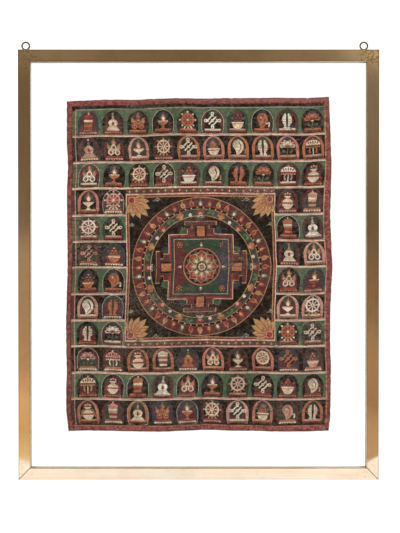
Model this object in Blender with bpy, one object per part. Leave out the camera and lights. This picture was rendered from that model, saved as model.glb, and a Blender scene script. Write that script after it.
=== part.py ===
"""A painted cloth pressed between two clear panes, in a mitred brass channel frame that hangs from two eyes.

Metres, +Z up, +X to the right of someone who faces the painting, and +Y away from them, into the wall.
The origin lies on the line through the holes of the two eyes, halfway across the frame and halfway through its depth.
"""

from collections import namedtuple
from math import cos, exp, pi, radians, sin, sqrt

import bmesh
import bpy
from mathutils import Matrix, Vector

MM = 0.001

# Every piece stays this far from the next.
GAP = 0.3 * MM

# The frame: four lengths of channel whose open side faces inwards.
FRAME_WIDTH = 686 * MM
FRAME_HEIGHT = 818 * MM
RAIL_FACE = 23.5 * MM
RAIL_WALL = 2.0 * MM
OUTER_EDGE_RADIUS = 1.0 * MM
LIP_EDGE_RADIUS = 0.6 * MM
EDGE_STEPS = 4

# The clear panes stand on the bottom rail's wall and stop short of the top one, to leave room for the eyes' shanks.
PANE_THICKNESS = 4.0 * MM
PANE_CHAMFER = 0.5 * MM
ROOM_OVER_PANES = 6.0 * MM

# The painted cloth, and how far its cockles swing either way between the panes.
CLOTH_WIDTH = 503 * MM
CLOTH_HEIGHT = 634.5 * MM
CLOTH_THICKNESS = 1.2 * MM
CLOTH_COCKLE = 0.5 * MM
CLOTH_RIGHT_OF_MIDDLE = 0.6 * MM
CLOTH_COLUMNS = 24
CLOTH_ROWS = 30

# The eyes: a wire ring on a shank of the same wire. Its foot is let a little way into the top rail.
EYE_WIRE = 3.1 * MM
EYE_OUTER = 17.2 * MM
EYE_SUNK = 0.9 * MM
SHANK_BELOW_RAIL_TOP = 6.5 * MM
LEFT_EYE_FROM_EDGE = 14.0 * MM
RIGHT_EYE_FROM_EDGE = 28.5 * MM
RING_STEPS = 48
WIRE_STEPS = 14

# What follows from those sizes.
ROOM_FOR_CLOTH = CLOTH_THICKNESS + 2 * CLOTH_COCKLE + 2 * GAP
FRAME_DEPTH = 2 * (RAIL_WALL + GAP + PANE_THICKNESS) + ROOM_FOR_CLOTH
FRAME_TOP = EYE_SUNK - EYE_OUTER / 2
FRAME_MIDDLE = FRAME_TOP - FRAME_HEIGHT / 2
FRAME_BOTTOM = FRAME_TOP - FRAME_HEIGHT

# How far an edge of the cloth stands outside (+) or inside (-) its straight line, at stations along that edge.
# Upright edges are read from the bottom to the top, the others from left to right.
Station = namedtuple("Station", "along_mm out_mm")

LEFT_EDGE = [
    Station(0, -2.4), Station(22, 0.1), Station(45, 2.2), Station(88, 2.2), Station(114, 0.8),
    Station(160, 1.9), Station(208, 2.3), Station(262, 0.8), Station(312, -0.6), Station(345, -0.7),
    Station(420, 0.0), Station(466, 0.2), Station(500, -1.7), Station(518, -1.5), Station(552, 0.3),
    Station(634, 0.2),
]
RIGHT_EDGE = [
    Station(0, -3.4), Station(22, -1.0), Station(55, 0.3), Station(124, 0.8), Station(158, -0.7),
    Station(228, -0.5), Station(262, 0.9), Station(312, 3.7), Station(350, 1.6), Station(405, -0.7),
    Station(462, 0.5), Station(500, 1.5), Station(552, -0.1), Station(588, -1.5), Station(634, -3.4),
]
TOP_EDGE = [
    Station(0, -5.6), Station(28, -3.8), Station(74, -2.2), Station(136, -2.4), Station(166, -0.6),
    Station(212, 0.7), Station(258, -0.1), Station(318, 0.8), Station(410, 1.4), Station(455, 1.0),
    Station(503, 3.0),
]
BOTTOM_EDGE = [
    Station(0, 0.6), Station(30, -0.8), Station(75, -0.1), Station(136, 1.2), Station(182, 1.6),
    Station(212, 0.0), Station(272, -2.1), Station(318, -0.3), Station(364, -0.1), Station(394, 1.3),
    Station(455, 1.2), Station(503, -0.6),
]

# The cockles that years on a roller left: long soft ripples, most of them level. Place and reach are shares of the
# cloth's width and height, and the swing is a share of CLOTH_COCKLE, towards the viewer when it is negative.
Cockle = namedtuple("Cockle", "across up reach_across reach_up swing")

COCKLES = [
    Cockle(0.18, 0.93, 0.30, 0.05, -0.9),
    Cockle(0.80, 0.86, 0.26, 0.06, 0.8),
    Cockle(0.40, 0.74, 0.45, 0.05, 0.7),
    Cockle(0.02, 0.70, 0.10, 0.12, -0.8),
    Cockle(0.70, 0.60, 0.35, 0.07, -0.7),
    Cockle(0.98, 0.50, 0.09, 0.10, 0.9),
    Cockle(0.28, 0.45, 0.40, 0.06, 0.8),
    Cockle(0.60, 0.30, 0.40, 0.06, -0.9),
    Cockle(0.10, 0.22, 0.20, 0.07, -0.7),
    Cockle(0.86, 0.16, 0.22, 0.06, 0.8),
    Cockle(0.42, 0.06, 0.35, 0.05, 0.8),
]


def clear_scene():
    for obj in list(bpy.data.objects):
        bpy.data.objects.remove(obj, do_unlink=True)


def make_material(name, colour, roughness, metallic=0.0, alpha=1.0):
    material = bpy.data.materials.new(name)
    material.use_nodes = True
    shader = material.node_tree.nodes["Principled BSDF"]
    shader.inputs["Base Color"].default_value = (*colour, 1.0)
    shader.inputs["Roughness"].default_value = roughness
    shader.inputs["Metallic"].default_value = metallic
    shader.inputs["Alpha"].default_value = alpha
    return material


def make_object(name, bm, material=None, sharp_angle=30):
    """Turns a bmesh into a named object, shaded smooth except across its sharp edges."""
    bmesh.ops.recalc_face_normals(bm, faces=bm.faces)
    mesh = bpy.data.meshes.new(name)
    bm.to_mesh(mesh)
    bm.free()
    mesh.shade_smooth()
    mesh.set_sharp_from_angle(angle=radians(sharp_angle))
    obj = bpy.data.objects.new(name, mesh)
    bpy.context.collection.objects.link(obj)
    if material:
        mesh.materials.append(material)
    return obj


def hide(obj):
    """Keeps a cutter or a joined shape out of the part."""
    obj.hide_render = True
    obj.display_type = "WIRE"
    return obj


def add_boolean(obj, other, operation):
    modifier = obj.modifiers.new(other.name, "BOOLEAN")
    modifier.object = other
    modifier.operation = operation
    modifier.solver = "EXACT"


# ---- frame ----------------------------------------------------------------------------------------------------------


def round_corner(before, corner, after, radius):
    """The points of an arc that rounds a square corner of an outline."""
    start = corner + (before - corner).normalized() * radius
    end = corner + (after - corner).normalized() * radius
    centre = start + end - corner
    quarter = [step / EDGE_STEPS * pi / 2 for step in range(EDGE_STEPS + 1)]
    return [centre + (start - centre) * cos(turn) + (end - centre) * sin(turn) for turn in quarter]


def channel_outline():
    """The channel's section, as (inwards from the outer wall, depth) points, from the outer front corner round."""
    front, back = -FRAME_DEPTH / 2, FRAME_DEPTH / 2
    outer_front, lip_front = Vector((0, front)), Vector((RAIL_FACE, front))
    outer_back, lip_back = Vector((0, back)), Vector((RAIL_FACE, back))
    outline = round_corner(outer_back, outer_front, lip_front, OUTER_EDGE_RADIUS)
    outline += round_corner(outer_front, lip_front, lip_back, LIP_EDGE_RADIUS)
    outline += [
        Vector((RAIL_FACE, front + RAIL_WALL)),
        Vector((RAIL_WALL, front + RAIL_WALL)),
        Vector((RAIL_WALL, back - RAIL_WALL)),
        Vector((RAIL_FACE, back - RAIL_WALL)),
    ]
    outline += round_corner(lip_front, lip_back, outer_back, LIP_EDGE_RADIUS)
    outline += round_corner(lip_back, outer_back, outer_front, OUTER_EDGE_RADIUS)
    return outline


def make_rail(name, length, place, turn, material):
    """A channel with its outer wall up and both ends mitred, turned about Y and put on its side of the frame."""
    mitre_step_back = GAP / 2 * sqrt(2)
    bm = bmesh.new()
    ends = []
    for side in (-1, 1):
        ends.append([])
        for point in channel_outline():
            reach = length / 2 - point.x - mitre_step_back
            ends[-1].append(bm.verts.new((side * reach, point.y, -point.x)))
    left_end, right_end = ends
    bm.faces.new(left_end)
    bm.faces.new(reversed(right_end))
    for near in range(len(left_end)):
        far = (near + 1) % len(left_end)
        bm.faces.new((left_end[near], left_end[far], right_end[far], right_end[near]))
    rail = make_object(name, bm, material)
    rail.location = place
    rail.rotation_euler = (0, turn, 0)
    return rail


def make_frame(material):
    half_width = FRAME_WIDTH / 2
    rails = {
        "rail_top": (FRAME_WIDTH, (0, 0, FRAME_TOP), 0),
        "rail_right": (FRAME_HEIGHT, (half_width, 0, FRAME_MIDDLE), pi / 2),
        "rail_bottom": (FRAME_WIDTH, (0, 0, FRAME_BOTTOM), pi),
        "rail_left": (FRAME_HEIGHT, (-half_width, 0, FRAME_MIDDLE), -pi / 2),
    }
    return {name: make_rail(name, *where, material) for name, where in rails.items()}


# ---- panes ----------------------------------------------------------------------------------------------------------


def make_pane(name, facing, material):
    """A clear sheet with chamfered edges. Facing is -1 for the one in front of the cloth, and 1 for the one behind."""
    width = FRAME_WIDTH - 2 * (RAIL_WALL + GAP)
    low = FRAME_BOTTOM + RAIL_WALL + GAP
    high = FRAME_TOP - RAIL_WALL - ROOM_OVER_PANES
    bm = bmesh.new()
    bmesh.ops.create_cube(bm, size=1, matrix=Matrix.Diagonal((width, PANE_THICKNESS, high - low, 1)))
    pane = make_object(name, bm, material)
    pane.location = (0, facing * (ROOM_FOR_CLOTH + PANE_THICKNESS) / 2, (low + high) / 2)
    chamfer = pane.modifiers.new("chamfer", "BEVEL")
    chamfer.width = PANE_CHAMFER
    chamfer.segments = 1
    return pane


# ---- cloth ----------------------------------------------------------------------------------------------------------


def stand_out(edge, share):
    """How far an edge stands out at a share of its length, eased from each station to the next."""
    along = share * edge[-1].along_mm
    for last, following in zip(edge, edge[1:]):
        if along <= following.along_mm:
            part = (along - last.along_mm) / (following.along_mm - last.along_mm)
            eased = part * part * (3 - 2 * part)
            return (last.out_mm + (following.out_mm - last.out_mm) * eased) * MM
    return edge[-1].out_mm * MM


def cockle_at(across, up):
    """The cloth's swing between the panes, in metres, held inside the room there."""
    swing = 0.0
    for cockle in COCKLES:
        sideways = (across - cockle.across) / cockle.reach_across
        upright = (up - cockle.up) / cockle.reach_up
        swing += cockle.swing * exp(-(sideways**2) - upright**2)
    return CLOTH_COCKLE * max(-1.0, min(1.0, swing))


def cloth_point(across, up):
    """A point of the cloth's middle surface, from its place as shares of the width and the height."""
    left = -CLOTH_WIDTH / 2 - stand_out(LEFT_EDGE, up)
    right = CLOTH_WIDTH / 2 + stand_out(RIGHT_EDGE, up)
    low = -CLOTH_HEIGHT / 2 - stand_out(BOTTOM_EDGE, across)
    high = CLOTH_HEIGHT / 2 + stand_out(TOP_EDGE, across)
    return Vector((left + (right - left) * across, cockle_at(across, up), low + (high - low) * up))


def make_cloth(material):
    """The painted cloth: one sheet with its worn outline and cockles, given its thickness both ways."""
    bm = bmesh.new()
    rows = []
    for row in range(CLOTH_ROWS + 1):
        shares = [(column / CLOTH_COLUMNS, row / CLOTH_ROWS) for column in range(CLOTH_COLUMNS + 1)]
        rows.append([bm.verts.new(cloth_point(across, up)) for across, up in shares])
    for lower, upper in zip(rows, rows[1:]):
        for column in range(CLOTH_COLUMNS):
            bm.faces.new((lower[column], lower[column + 1], upper[column + 1], upper[column]))
    cloth = make_object("painted_cloth", bm, material)
    cloth.location = (CLOTH_RIGHT_OF_MIDDLE, 0, FRAME_MIDDLE)
    thickness = cloth.modifiers.new("thickness", "SOLIDIFY")
    thickness.thickness = CLOTH_THICKNESS
    thickness.offset = 0
    return cloth


# ---- eyes -----------------------------------------------------------------------------------------------------------


def make_ring(name, wire, material=None):
    """A round wire ring whose hole runs along Y."""
    middle_radius = (EYE_OUTER - EYE_WIRE) / 2
    bm = bmesh.new()
    rings = []
    for step in range(RING_STEPS):
        turn = 2 * pi * step / RING_STEPS
        outwards = Vector((sin(turn), 0, cos(turn)))
        rings.append([])
        for side in range(WIRE_STEPS):
            lean = 2 * pi * side / WIRE_STEPS
            offset = outwards * cos(lean) + Vector((0, sin(lean), 0))
            rings[-1].append(bm.verts.new(outwards * middle_radius + offset * wire / 2))
    for step, ring in enumerate(rings):
        after = rings[(step + 1) % RING_STEPS]
        for side in range(WIRE_STEPS):
            following = (side + 1) % WIRE_STEPS
            bm.faces.new((ring[side], ring[following], after[following], after[side]))
    return make_object(name, bm, material)


def make_shank(name, wire, end):
    """A round pin from the middle of the ring's lowest wire down to a height."""
    start = -(EYE_OUTER - EYE_WIRE) / 2
    bm = bmesh.new()
    bmesh.ops.create_cone(
        bm, cap_ends=True, segments=WIRE_STEPS, radius1=wire / 2, radius2=wire / 2, depth=start - end,
        matrix=Matrix.Translation((0, 0, (start + end) / 2)),
    )
    return make_object(name, bm)


def make_eye(name, across, rail, material):
    """An eye on the top rail, with a seat for its ring and a hole for its shank cut into that rail."""
    shank_end = FRAME_TOP - SHANK_BELOW_RAIL_TOP
    eye = make_ring(name, EYE_WIRE, material)
    shank = hide(make_shank(name + "_shank", EYE_WIRE, shank_end))
    seat_cutter = hide(make_ring(name + "_seat_cutter", EYE_WIRE + 2 * GAP))
    hole_cutter = hide(make_shank(name + "_hole_cutter", EYE_WIRE + 2 * GAP, shank_end - GAP))
    for obj in (eye, shank, seat_cutter, hole_cutter):
        obj.location.x = across
    add_boolean(eye, shank, "UNION")
    add_boolean(rail, seat_cutter, "DIFFERENCE")
    add_boolean(rail, hole_cutter, "DIFFERENCE")
    return eye


def main():
    clear_scene()
    brass = make_material("brass", (0.46, 0.29, 0.13), roughness=0.25, metallic=1.0)
    dull_brass = make_material("dull_brass", (0.25, 0.19, 0.14), roughness=0.4, metallic=1.0)
    clear = make_material("clear_sheet", (0.95, 0.97, 0.97), roughness=0.03, alpha=0.15)
    paint = make_material("painted_cotton", (0.13, 0.10, 0.08), roughness=0.85)

    rails = make_frame(brass)
    make_pane("pane_front", -1, clear)
    make_pane("pane_back", 1, clear)
    make_cloth(paint)
    make_eye("ring_left", LEFT_EYE_FROM_EDGE - FRAME_WIDTH / 2, rails["rail_top"], dull_brass)
    make_eye("ring_right", FRAME_WIDTH / 2 - RIGHT_EYE_FROM_EDGE, rails["rail_top"], dull_brass)


main()
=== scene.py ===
"""The looks of an old painted cloth that is pressed between two clear panes in a slim mitred brass frame.

Metres, +Z up, +X to the right of someone who faces the painting and +Y away from them, as in the frame.
The painting is drawn flat, in millimetres from the cloth's lower left corner, then laid on the CAD cloth.
"""

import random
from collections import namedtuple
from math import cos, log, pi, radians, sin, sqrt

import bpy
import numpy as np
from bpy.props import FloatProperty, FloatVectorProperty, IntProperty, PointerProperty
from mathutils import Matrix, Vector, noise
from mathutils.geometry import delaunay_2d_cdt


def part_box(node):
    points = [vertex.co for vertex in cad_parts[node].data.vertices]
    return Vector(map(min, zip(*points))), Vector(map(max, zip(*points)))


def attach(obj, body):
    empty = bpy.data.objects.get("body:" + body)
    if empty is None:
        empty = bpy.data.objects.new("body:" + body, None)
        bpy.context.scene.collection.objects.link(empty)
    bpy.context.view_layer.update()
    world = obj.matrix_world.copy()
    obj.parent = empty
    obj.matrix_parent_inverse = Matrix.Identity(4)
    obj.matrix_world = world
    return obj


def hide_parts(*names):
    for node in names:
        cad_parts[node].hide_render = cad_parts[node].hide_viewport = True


bl_info = {
    "name": "Framed painted cloth",
    "version": (1, 0, 0),
    "blender": (4, 5, 0),
    "location": "3D View > Sidebar > Painted cloth",
    "description": "Builds the painted cloth, its loose threads, the brass, the clear panes and the studio",
    "category": "Object",
}

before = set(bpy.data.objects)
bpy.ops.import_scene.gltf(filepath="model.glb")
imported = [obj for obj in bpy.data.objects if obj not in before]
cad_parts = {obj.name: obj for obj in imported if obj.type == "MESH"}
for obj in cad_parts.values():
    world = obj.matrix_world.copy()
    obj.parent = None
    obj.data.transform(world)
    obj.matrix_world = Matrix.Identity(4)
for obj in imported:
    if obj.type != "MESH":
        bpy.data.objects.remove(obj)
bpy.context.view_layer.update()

MM = 0.001

# The rails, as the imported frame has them. Its channel's walls are 2 mm thick.
RAIL_LOW, RAIL_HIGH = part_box("rail_top")
FRAME_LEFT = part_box("rail_left")[0].x
FRAME_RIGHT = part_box("rail_right")[1].x
FRAME_TOP = RAIL_HIGH.z
FRAME_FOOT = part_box("rail_bottom")[0].z
FRAME_FRONT = RAIL_LOW.y
FRAME_MIDDLE = (FRAME_TOP + FRAME_FOOT) / 2
HALF_WIDTH = (FRAME_RIGHT - FRAME_LEFT) / 2
HALF_HEIGHT = (FRAME_TOP - FRAME_FOOT) / 2
RAIL_FACE = RAIL_HIGH.z - RAIL_LOW.z
RAIL_WALL = 2.0 * MM

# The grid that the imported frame's cloth is made on.
CLOTH_COLUMNS = 24
CLOTH_ROWS = 30


# ---- settings ------------------------------------------------------------------------------------


def length(name, description, default):
    limits = {"min": 0, "unit": "LENGTH", "precision": 4}
    return FloatProperty(name=name, description=description, default=default, **limits)


def share(name, description, default):
    limits = {"min": 0, "max": 1, "subtype": "FACTOR"}
    return FloatProperty(name=name, description=description, default=default, **limits)


def colour(name, description, *levels):
    limits = {"min": 0, "max": 4, "size": 3, "subtype": "COLOR"}
    return FloatVectorProperty(name=name, description=description, default=levels, **limits)


class PigmentSettings(bpy.types.PropertyGroup):
    border: colour("Border red", "Brick red of the cloth's painted edge", 0.264, 0.078, 0.067)
    coral: colour("Coral", "Paler red of the edge's inner line and its rubbed places", 0.470, 0.182, 0.130)
    mist: colour("Mist", "Grey of the thin line inside the edge", 0.300, 0.270, 0.200)
    olive: colour("Olive", "Brownish green of the strip beside the thin line", 0.140, 0.120, 0.062)
    black: colour("Blue black", "Dark ground of every other row and of the middle", 0.011, 0.0085, 0.0055)
    slate: colour("Slate", "Grey blue in the dark grounds", 0.044, 0.051, 0.068)
    green: colour("Green", "Mid green ground of every other row", 0.098, 0.150, 0.082)
    deep_green: colour("Deep green", "Leaves and the insides of arches", 0.030, 0.062, 0.036)
    maroon: colour("Maroon", "Dark red of arches", 0.115, 0.030, 0.030)
    red: colour("Red", "Bright red accents", 0.285, 0.052, 0.038)
    orange: colour("Orange", "Red-lead orange of arches and flames", 0.420, 0.155, 0.078)
    ochre: colour("Ochre", "Yellow earth", 0.450, 0.250, 0.115)
    pink: colour("Pink", "Red mixed with white, on the row lines and seats", 0.500, 0.265, 0.205)
    cream: colour("Cream", "Chalk white of the painted signs", 0.640, 0.510, 0.370)
    pale: colour("Pale", "Chalk white at its cleanest", 0.720, 0.640, 0.520)
    primer: colour("Primer", "Chalk and glue that the paint has come off", 0.430, 0.330, 0.240)


class ClothSettings(bpy.types.PropertyGroup):
    width: length("Width", "Width of the cloth as it was cut", 0.503)
    height: length("Height", "Height of the cloth as it was cut", 0.6345)
    thickness: length("Thickness", "Thickness of cloth, primer and paint together", 0.0011)
    weave: length("Weave", "Distance from one thread of the cotton to the next", 0.0006)
    fray: length("Fray", "How far the cut edge is nibbled away", 0.0009)
    ripple: length("Ripple", "Swing of the small ripples between the cockles", 0.00010)
    wear: share("Wear", "How much paint is rubbed and cracked away", 0.5)
    threads: IntProperty(name="Loose threads", description="Thread ends along the edge", default=240, min=0)


class BrassSettings(bpy.types.PropertyGroup):
    polished: colour("Brass", "Colour of the polished brass", 0.96, 0.69, 0.43)
    olive: colour("Olive brass", "Colour of the streaks where the brass is greener", 0.84, 0.73, 0.52)
    reddish: colour("Reddish brass", "Colour of the smears where the brass is redder", 0.99, 0.62, 0.42)
    # The pale inside of the channel is painted light for the bright strip just inside the rails.
    inside_light_and_shade: colour("Inside light", "Pale colour of the inside of the channel, painted light", 0.97, 0.90, 0.80)
    # The edge colour is painted shade along the channel's lips, and also darkens the outer edges.
    edge: colour("Lip shade and edge lines", "Colour of the painted shade along the lips and of the darker outer edges", 0.25, 0.165, 0.075)
    tarnish: colour("Tarnish", "Colour of the thin tarnish on it", 0.60, 0.42, 0.23)
    roughness: share("Roughness", "Roughness of the polished faces", 0.035)
    wire: colour("Wire", "Colour of the darkened wire of the eyes", 0.135, 0.089, 0.050)
    solder: colour("Solder", "Colour of the darkened joints", 0.17, 0.115, 0.06)


class PaneSettings(bpy.types.PropertyGroup):
    tint: colour("Tint", "What the clear sheet lets through", 0.985, 0.992, 0.988)
    bending: FloatProperty(name="Refractive index", description="Of the sheet", default=1.49, min=1, max=2)
    roughness: share("Roughness", "Roughness of the sheet's faces", 0.015)


class StudioSettings(bpy.types.PropertyGroup):
    distance: length("Camera distance", "From the lens to the front of the frame", 2.0)
    pixel: length("Picture step", "Width that one dot of the picture covers at the frame", 0.0019)
    floor_drop: length("Floor drop", "How far the floor lies below the foot of the frame", 0.275)
    floor: colour("Floor", "Pale floor", 0.665, 0.690, 0.778)
    lamp_power: FloatProperty(name="Lamp power", description="Of each lamp", default=38, min=0, unit="POWER")
    background: colour("Background", "What shows behind the frame", 1.25, 1.25, 1.25)


# ---- shader writing ------------------------------------------------------------------------------


class Signal:
    """A socket's value on its way through a shader. A sum on it adds a Math node."""

    def __init__(self, shader, socket):
        self.shader = shader
        self.socket = socket

    def math(self, operation, *others):
        values = dict(zip(("Value", "Value_001", "Value_002"), others))
        return self.shader.node("Math", {"operation": operation}, values)

    def __add__(self, other):
        return self.math("ADD", self, other)

    def __sub__(self, other):
        return self.math("SUBTRACT", self, other)

    def __mul__(self, other):
        return self.math("MULTIPLY", self, other)

    def __truediv__(self, other):
        return self.math("DIVIDE", self, other)

    def __pow__(self, other):
        return self.math("POWER", self, other)

    def __rsub__(self, other):
        return self.math("SUBTRACT", other, self)

    def __abs__(self):
        return self.math("ABSOLUTE", self)

    __radd__ = __add__
    __rmul__ = __mul__

    def sine(self):
        return self.math("SINE", self)

    def least(self, other):
        return self.math("MINIMUM", self, other)

    def most(self, other):
        return self.math("MAXIMUM", self, other)

    def rise(self, start, end):
        """0 up to start and 1 from end on, eased between. With start over end it falls."""
        if start > end:
            return 1 - self.rise(end, start)
        settings = {"interpolation_type": "SMOOTHSTEP", "clamp": True}
        return self.shader.node("MapRange", settings, {"Value": self, "From Min": start, "From Max": end})

    def fit(self, low, high):
        """Turns 0 to 1 into low to high."""
        return self * (high - low) + low


class Shader:
    """Writes nodes into a material's or a world's tree."""

    def __init__(self, tree):
        self.tree = tree

    def node(self, kind, settings=None, values=None, output=0):
        """Adds a node with its settings, values or links for its sockets, and returns one of its outputs."""
        node = self.tree.nodes.new("ShaderNode" + kind)
        for setting, value in (settings or {}).items():
            if setting == "stops":
                self.set_stops(node.color_ramp, value)
            else:
                setattr(node, setting, value)
        for socket, value in (values or {}).items():
            self.feed(node, socket, value)
        return Signal(self, node.outputs[output])

    def set_stops(self, ramp, stops):
        while len(ramp.elements) < len(stops):
            ramp.elements.new(1)
        for element, (position, level) in zip(ramp.elements, stops):
            element.position = position
            element.color = (*level, 1)

    def feed(self, node, socket, value):
        """Links or sets a socket, which goes by its identifier or by its name."""
        by_identifier = [s for s in node.inputs if s.identifier == socket]
        target = by_identifier[0] if by_identifier else node.inputs[socket]
        if isinstance(value, Signal):
            self.tree.links.new(value.socket, target)
        elif target.type == "RGBA" and len(value) == 3:
            target.default_value = (*value, 1)
        else:
            target.default_value = value

    def mix(self, factor, low, high, kind="MIX"):
        """Mixes two colours."""
        settings = {"data_type": "RGBA", "blend_type": kind}
        return self.node("Mix", settings, {"Factor_Float": factor, "A_Color": low, "B_Color": high}, 2)

    def dim(self, tint, factor):
        """Scales a colour by a number that changes over the surface."""
        grey = self.node("CombineColor", None, dict.fromkeys(("Red", "Green", "Blue"), factor))
        return self.mix(1, tint, grey, "MULTIPLY")

    def stretch(self, place, across, deep, up):
        """Scales a place by a number a side, so that a pattern read there is drawn out."""
        scale = {"Vector": place, "Vector_001": (across, deep, up)}
        return self.node("VectorMath", {"operation": "MULTIPLY"}, scale)

    def noise(self, place, scale, detail=3.0, roughness=0.55):
        """Cloudy noise, from 0 to 1 and mostly close to a half."""
        values = {"Vector": place, "Scale": scale, "Detail": detail, "Roughness": roughness}
        return self.node("TexNoise", {"normalize": True}, values)

    def cracks(self, place, scale, width):
        """A net of thin lines between cells, 1 on a line. Its width is a share of a cell."""
        settings = {"feature": "DISTANCE_TO_EDGE"}
        return self.node("TexVoronoi", settings, {"Vector": place, "Scale": scale}).rise(width, 0)

    def sides(self, place):
        """The three sides of a vector."""
        split = self.node("SeparateXYZ", None, {"Vector": place}).socket.node
        return [Signal(self, output) for output in split.outputs]

    def attribute(self, name, output="Fac"):
        """A value that the mesh carries."""
        return self.node("Attribute", {"attribute_name": name}, None, output)

    def bump(self, height, distance):
        """A normal for relief of this height."""
        return self.node("Bump", None, {"Height": height, "Distance": distance, "Strength": 1.0})


class Finish(Shader):
    """A material of one Principled surface."""

    def __init__(self, name):
        self.material = bpy.data.materials.new(name)
        self.material.use_nodes = True
        super().__init__(self.material.node_tree)
        self.surface = self.tree.nodes["Principled BSDF"]
        self.place = self.node("TexCoord", None, None, "Object")

    def set(self, **values):
        """Feeds the surface's sockets, named with _ for a space."""
        for socket, value in values.items():
            self.feed(self.surface, socket.replace("_", " "), value)
        return self.material


# ---- finishes ------------------------------------------------------------------------------------


def weave_height(shader, pitch):
    """The plain weave's threads, from 0 to 1."""
    across, _, up = shader.sides(shader.place)
    wave = 2 * pi / pitch
    return ((across * wave).sine() * (up * wave).sine()) * 0.5 + 0.5


# Height of the large panel's middle, and heights over which the red edge's top and bottom strips begin.
PANEL_MIDDLE = -0.390
TOP_STRIP = (-0.107, -0.104)
FOOT_STRIP = (-0.712, -0.715)

# What shows in the dark grounds: maroon, green, slate and brown.
Patch = namedtuple("Patch", "scale strength tint")
PATCHES = (
    Patch(88, 0.75, (0.125, 0.046, 0.044)),
    Patch(121, 0.60, (0.048, 0.080, 0.044)),
    Patch(67, 0.60, (0.044, 0.052, 0.068)),
    Patch(150, 0.45, (0.160, 0.125, 0.080)),
)


def patch_grounds(paint, drawn, off_edge):
    """Patches the dark grounds as if they had been painted more than once, but less so in the middle."""
    across, _, up = paint.sides(paint.place)
    ground = paint.node("RGBToBW", None, {"Color": drawn}).rise(0.30, 0.06)
    in_middle = abs(across).rise(0.17, 0.14) * abs(up - PANEL_MIDDLE).rise(0.17, 0.14)
    strength = ground * off_edge * in_middle.fit(1.0, 0.5)
    patched = drawn
    for patch in PATCHES:
        cover = paint.noise(paint.stretch(paint.place, 1, 1, 1.2), patch.scale, 4, 0.66).rise(0.50, 0.66)
        patched = paint.mix(cover * strength * patch.strength, patched, patch.tint)
    return patched


def blotch_edge(paint, body, on_edge, coral):
    """Blotches the red edge with dark red, and with coral where it is rubbed. Its top has a pale bloom."""
    across, _, up = paint.sides(paint.place)
    at_top, at_foot = up.rise(*TOP_STRIP), up.rise(*FOOT_STRIP)
    # The red gets paler towards the right side, and on its top and foot strips.
    paler_right_and_ends = across.rise(-0.26, 0.26).most(at_top.most(at_foot) * 0.9)
    speckle = paint.noise(paint.place, 330, 3, 0.7)
    clouds = paint.noise(paint.place, 110, 4, 0.68)
    dark = (clouds + paler_right_and_ends * 0.02).rise(0.46, 0.60) * 0.82
    rubbed = (speckle + at_foot * 0.03).rise(0.54, 0.64) * paler_right_and_ends.fit(0.35, 0.95)
    reddened = paint.mix(dark * on_edge, body, (0.100, 0.024, 0.022))
    blotched = paint.mix(rubbed * on_edge, reddened, coral)
    return paint.mix(at_top * on_edge * speckle.fit(0.0, 0.7), blotched, (0.350, 0.142, 0.138))


def soil(paint, body, from_edge):
    """Darkens it towards the foot, in stains as damp does, and along the cut edge as hands do."""
    _, _, up = paint.sides(paint.place)
    darker_to_foot = up.rise(-0.15, -0.60) * 0.10
    stain = paint.noise(paint.place, 7.5, 3, 0.5).rise(0.50, 0.70) * 0.32
    grime = from_edge.rise(2.8, 0.4) * paint.noise(paint.place, 60, 3).fit(0.45, 1.25)
    browned = paint.mix(1, body, (0.42, 0.34, 0.28), "MULTIPLY")
    stained = paint.mix((stain + darker_to_foot).least(1), body, browned)
    return paint.mix((grime * 0.85).least(1), stained, (0.040, 0.020, 0.018))


def painted_finish(cloth, pigments):
    """Matt distemper on primed cotton: the drawn pigments, rubbed, cracked, stained and flaked by age."""
    paint = Finish("worn distemper")
    place = paint.place
    level_place = paint.stretch(place, 0.35, 1, 1)
    from_edge = paint.attribute("from_edge")
    on_edge = from_edge.rise(13, 9)
    clouds = paint.noise(place, 26, 4)
    blotches = paint.noise(place, 105, 4, 0.62)
    brushwork = paint.noise(level_place, 310, 3, 0.6)
    grit = paint.noise(place, 900, 2, 0.6)
    worn_area = paint.noise(level_place, 17, 5, 0.6)
    wear = cloth.wear

    patched = patch_grounds(paint, paint.attribute("pigment", "Color"), 1 - on_edge)
    toned = paint.dim(patched, clouds.fit(0.45, 1.50) * brushwork.fit(0.60, 1.40) * blotches.fit(0.35, 1.65))
    rubbed = worn_area.rise(0.50, 0.74) * brushwork.rise(0.42, 0.62) * (0.14 * wear)
    dusty = paint.mix(rubbed, toned, (0.30, 0.22, 0.16))

    flaked = grit.rise(0.62 - 0.06 * wear, 0.67 - 0.06 * wear) * worn_area.rise(0.48, 0.66)
    chipped = paint.noise(place, 240, 5, 0.7).rise(0.665, 0.685) * clouds.rise(0.40, 0.56)
    bare = flaked.most(chipped) * (0.55 + 0.5 * wear)
    flaky = paint.mix(bare.least(1), dusty, pigments.primer)

    # Rolling has cracked the paint in lines that run mostly across the cloth.
    net = paint.cracks(paint.stretch(place, 0.5, 1, 1.25), 260, 0.10) * clouds.rise(0.38, 0.60)
    long_cracks = paint.cracks(paint.stretch(place, 0.09, 1, 1), 120, 0.05) * worn_area.rise(0.42, 0.60)
    cracks = net.most(long_cracks)
    cracked = paint.mix(cracks * (0.5 + 0.3 * wear), flaky, (0.030, 0.020, 0.016))

    painted = weave_height(paint, cloth.weave) * 0.25 + brushwork * 0.5
    relief = painted + (1 - cracks) * 0.8 + (1 - bare) * 0.5
    return paint.set(
        Base_Color=soil(paint, blotch_edge(paint, cracked, on_edge, pigments.coral), from_edge),
        Roughness=brushwork.fit(0.66, 0.92),
        Specular_IOR_Level=0.03,
        Normal=paint.bump(relief, 0.16 * MM),
    )


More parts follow.
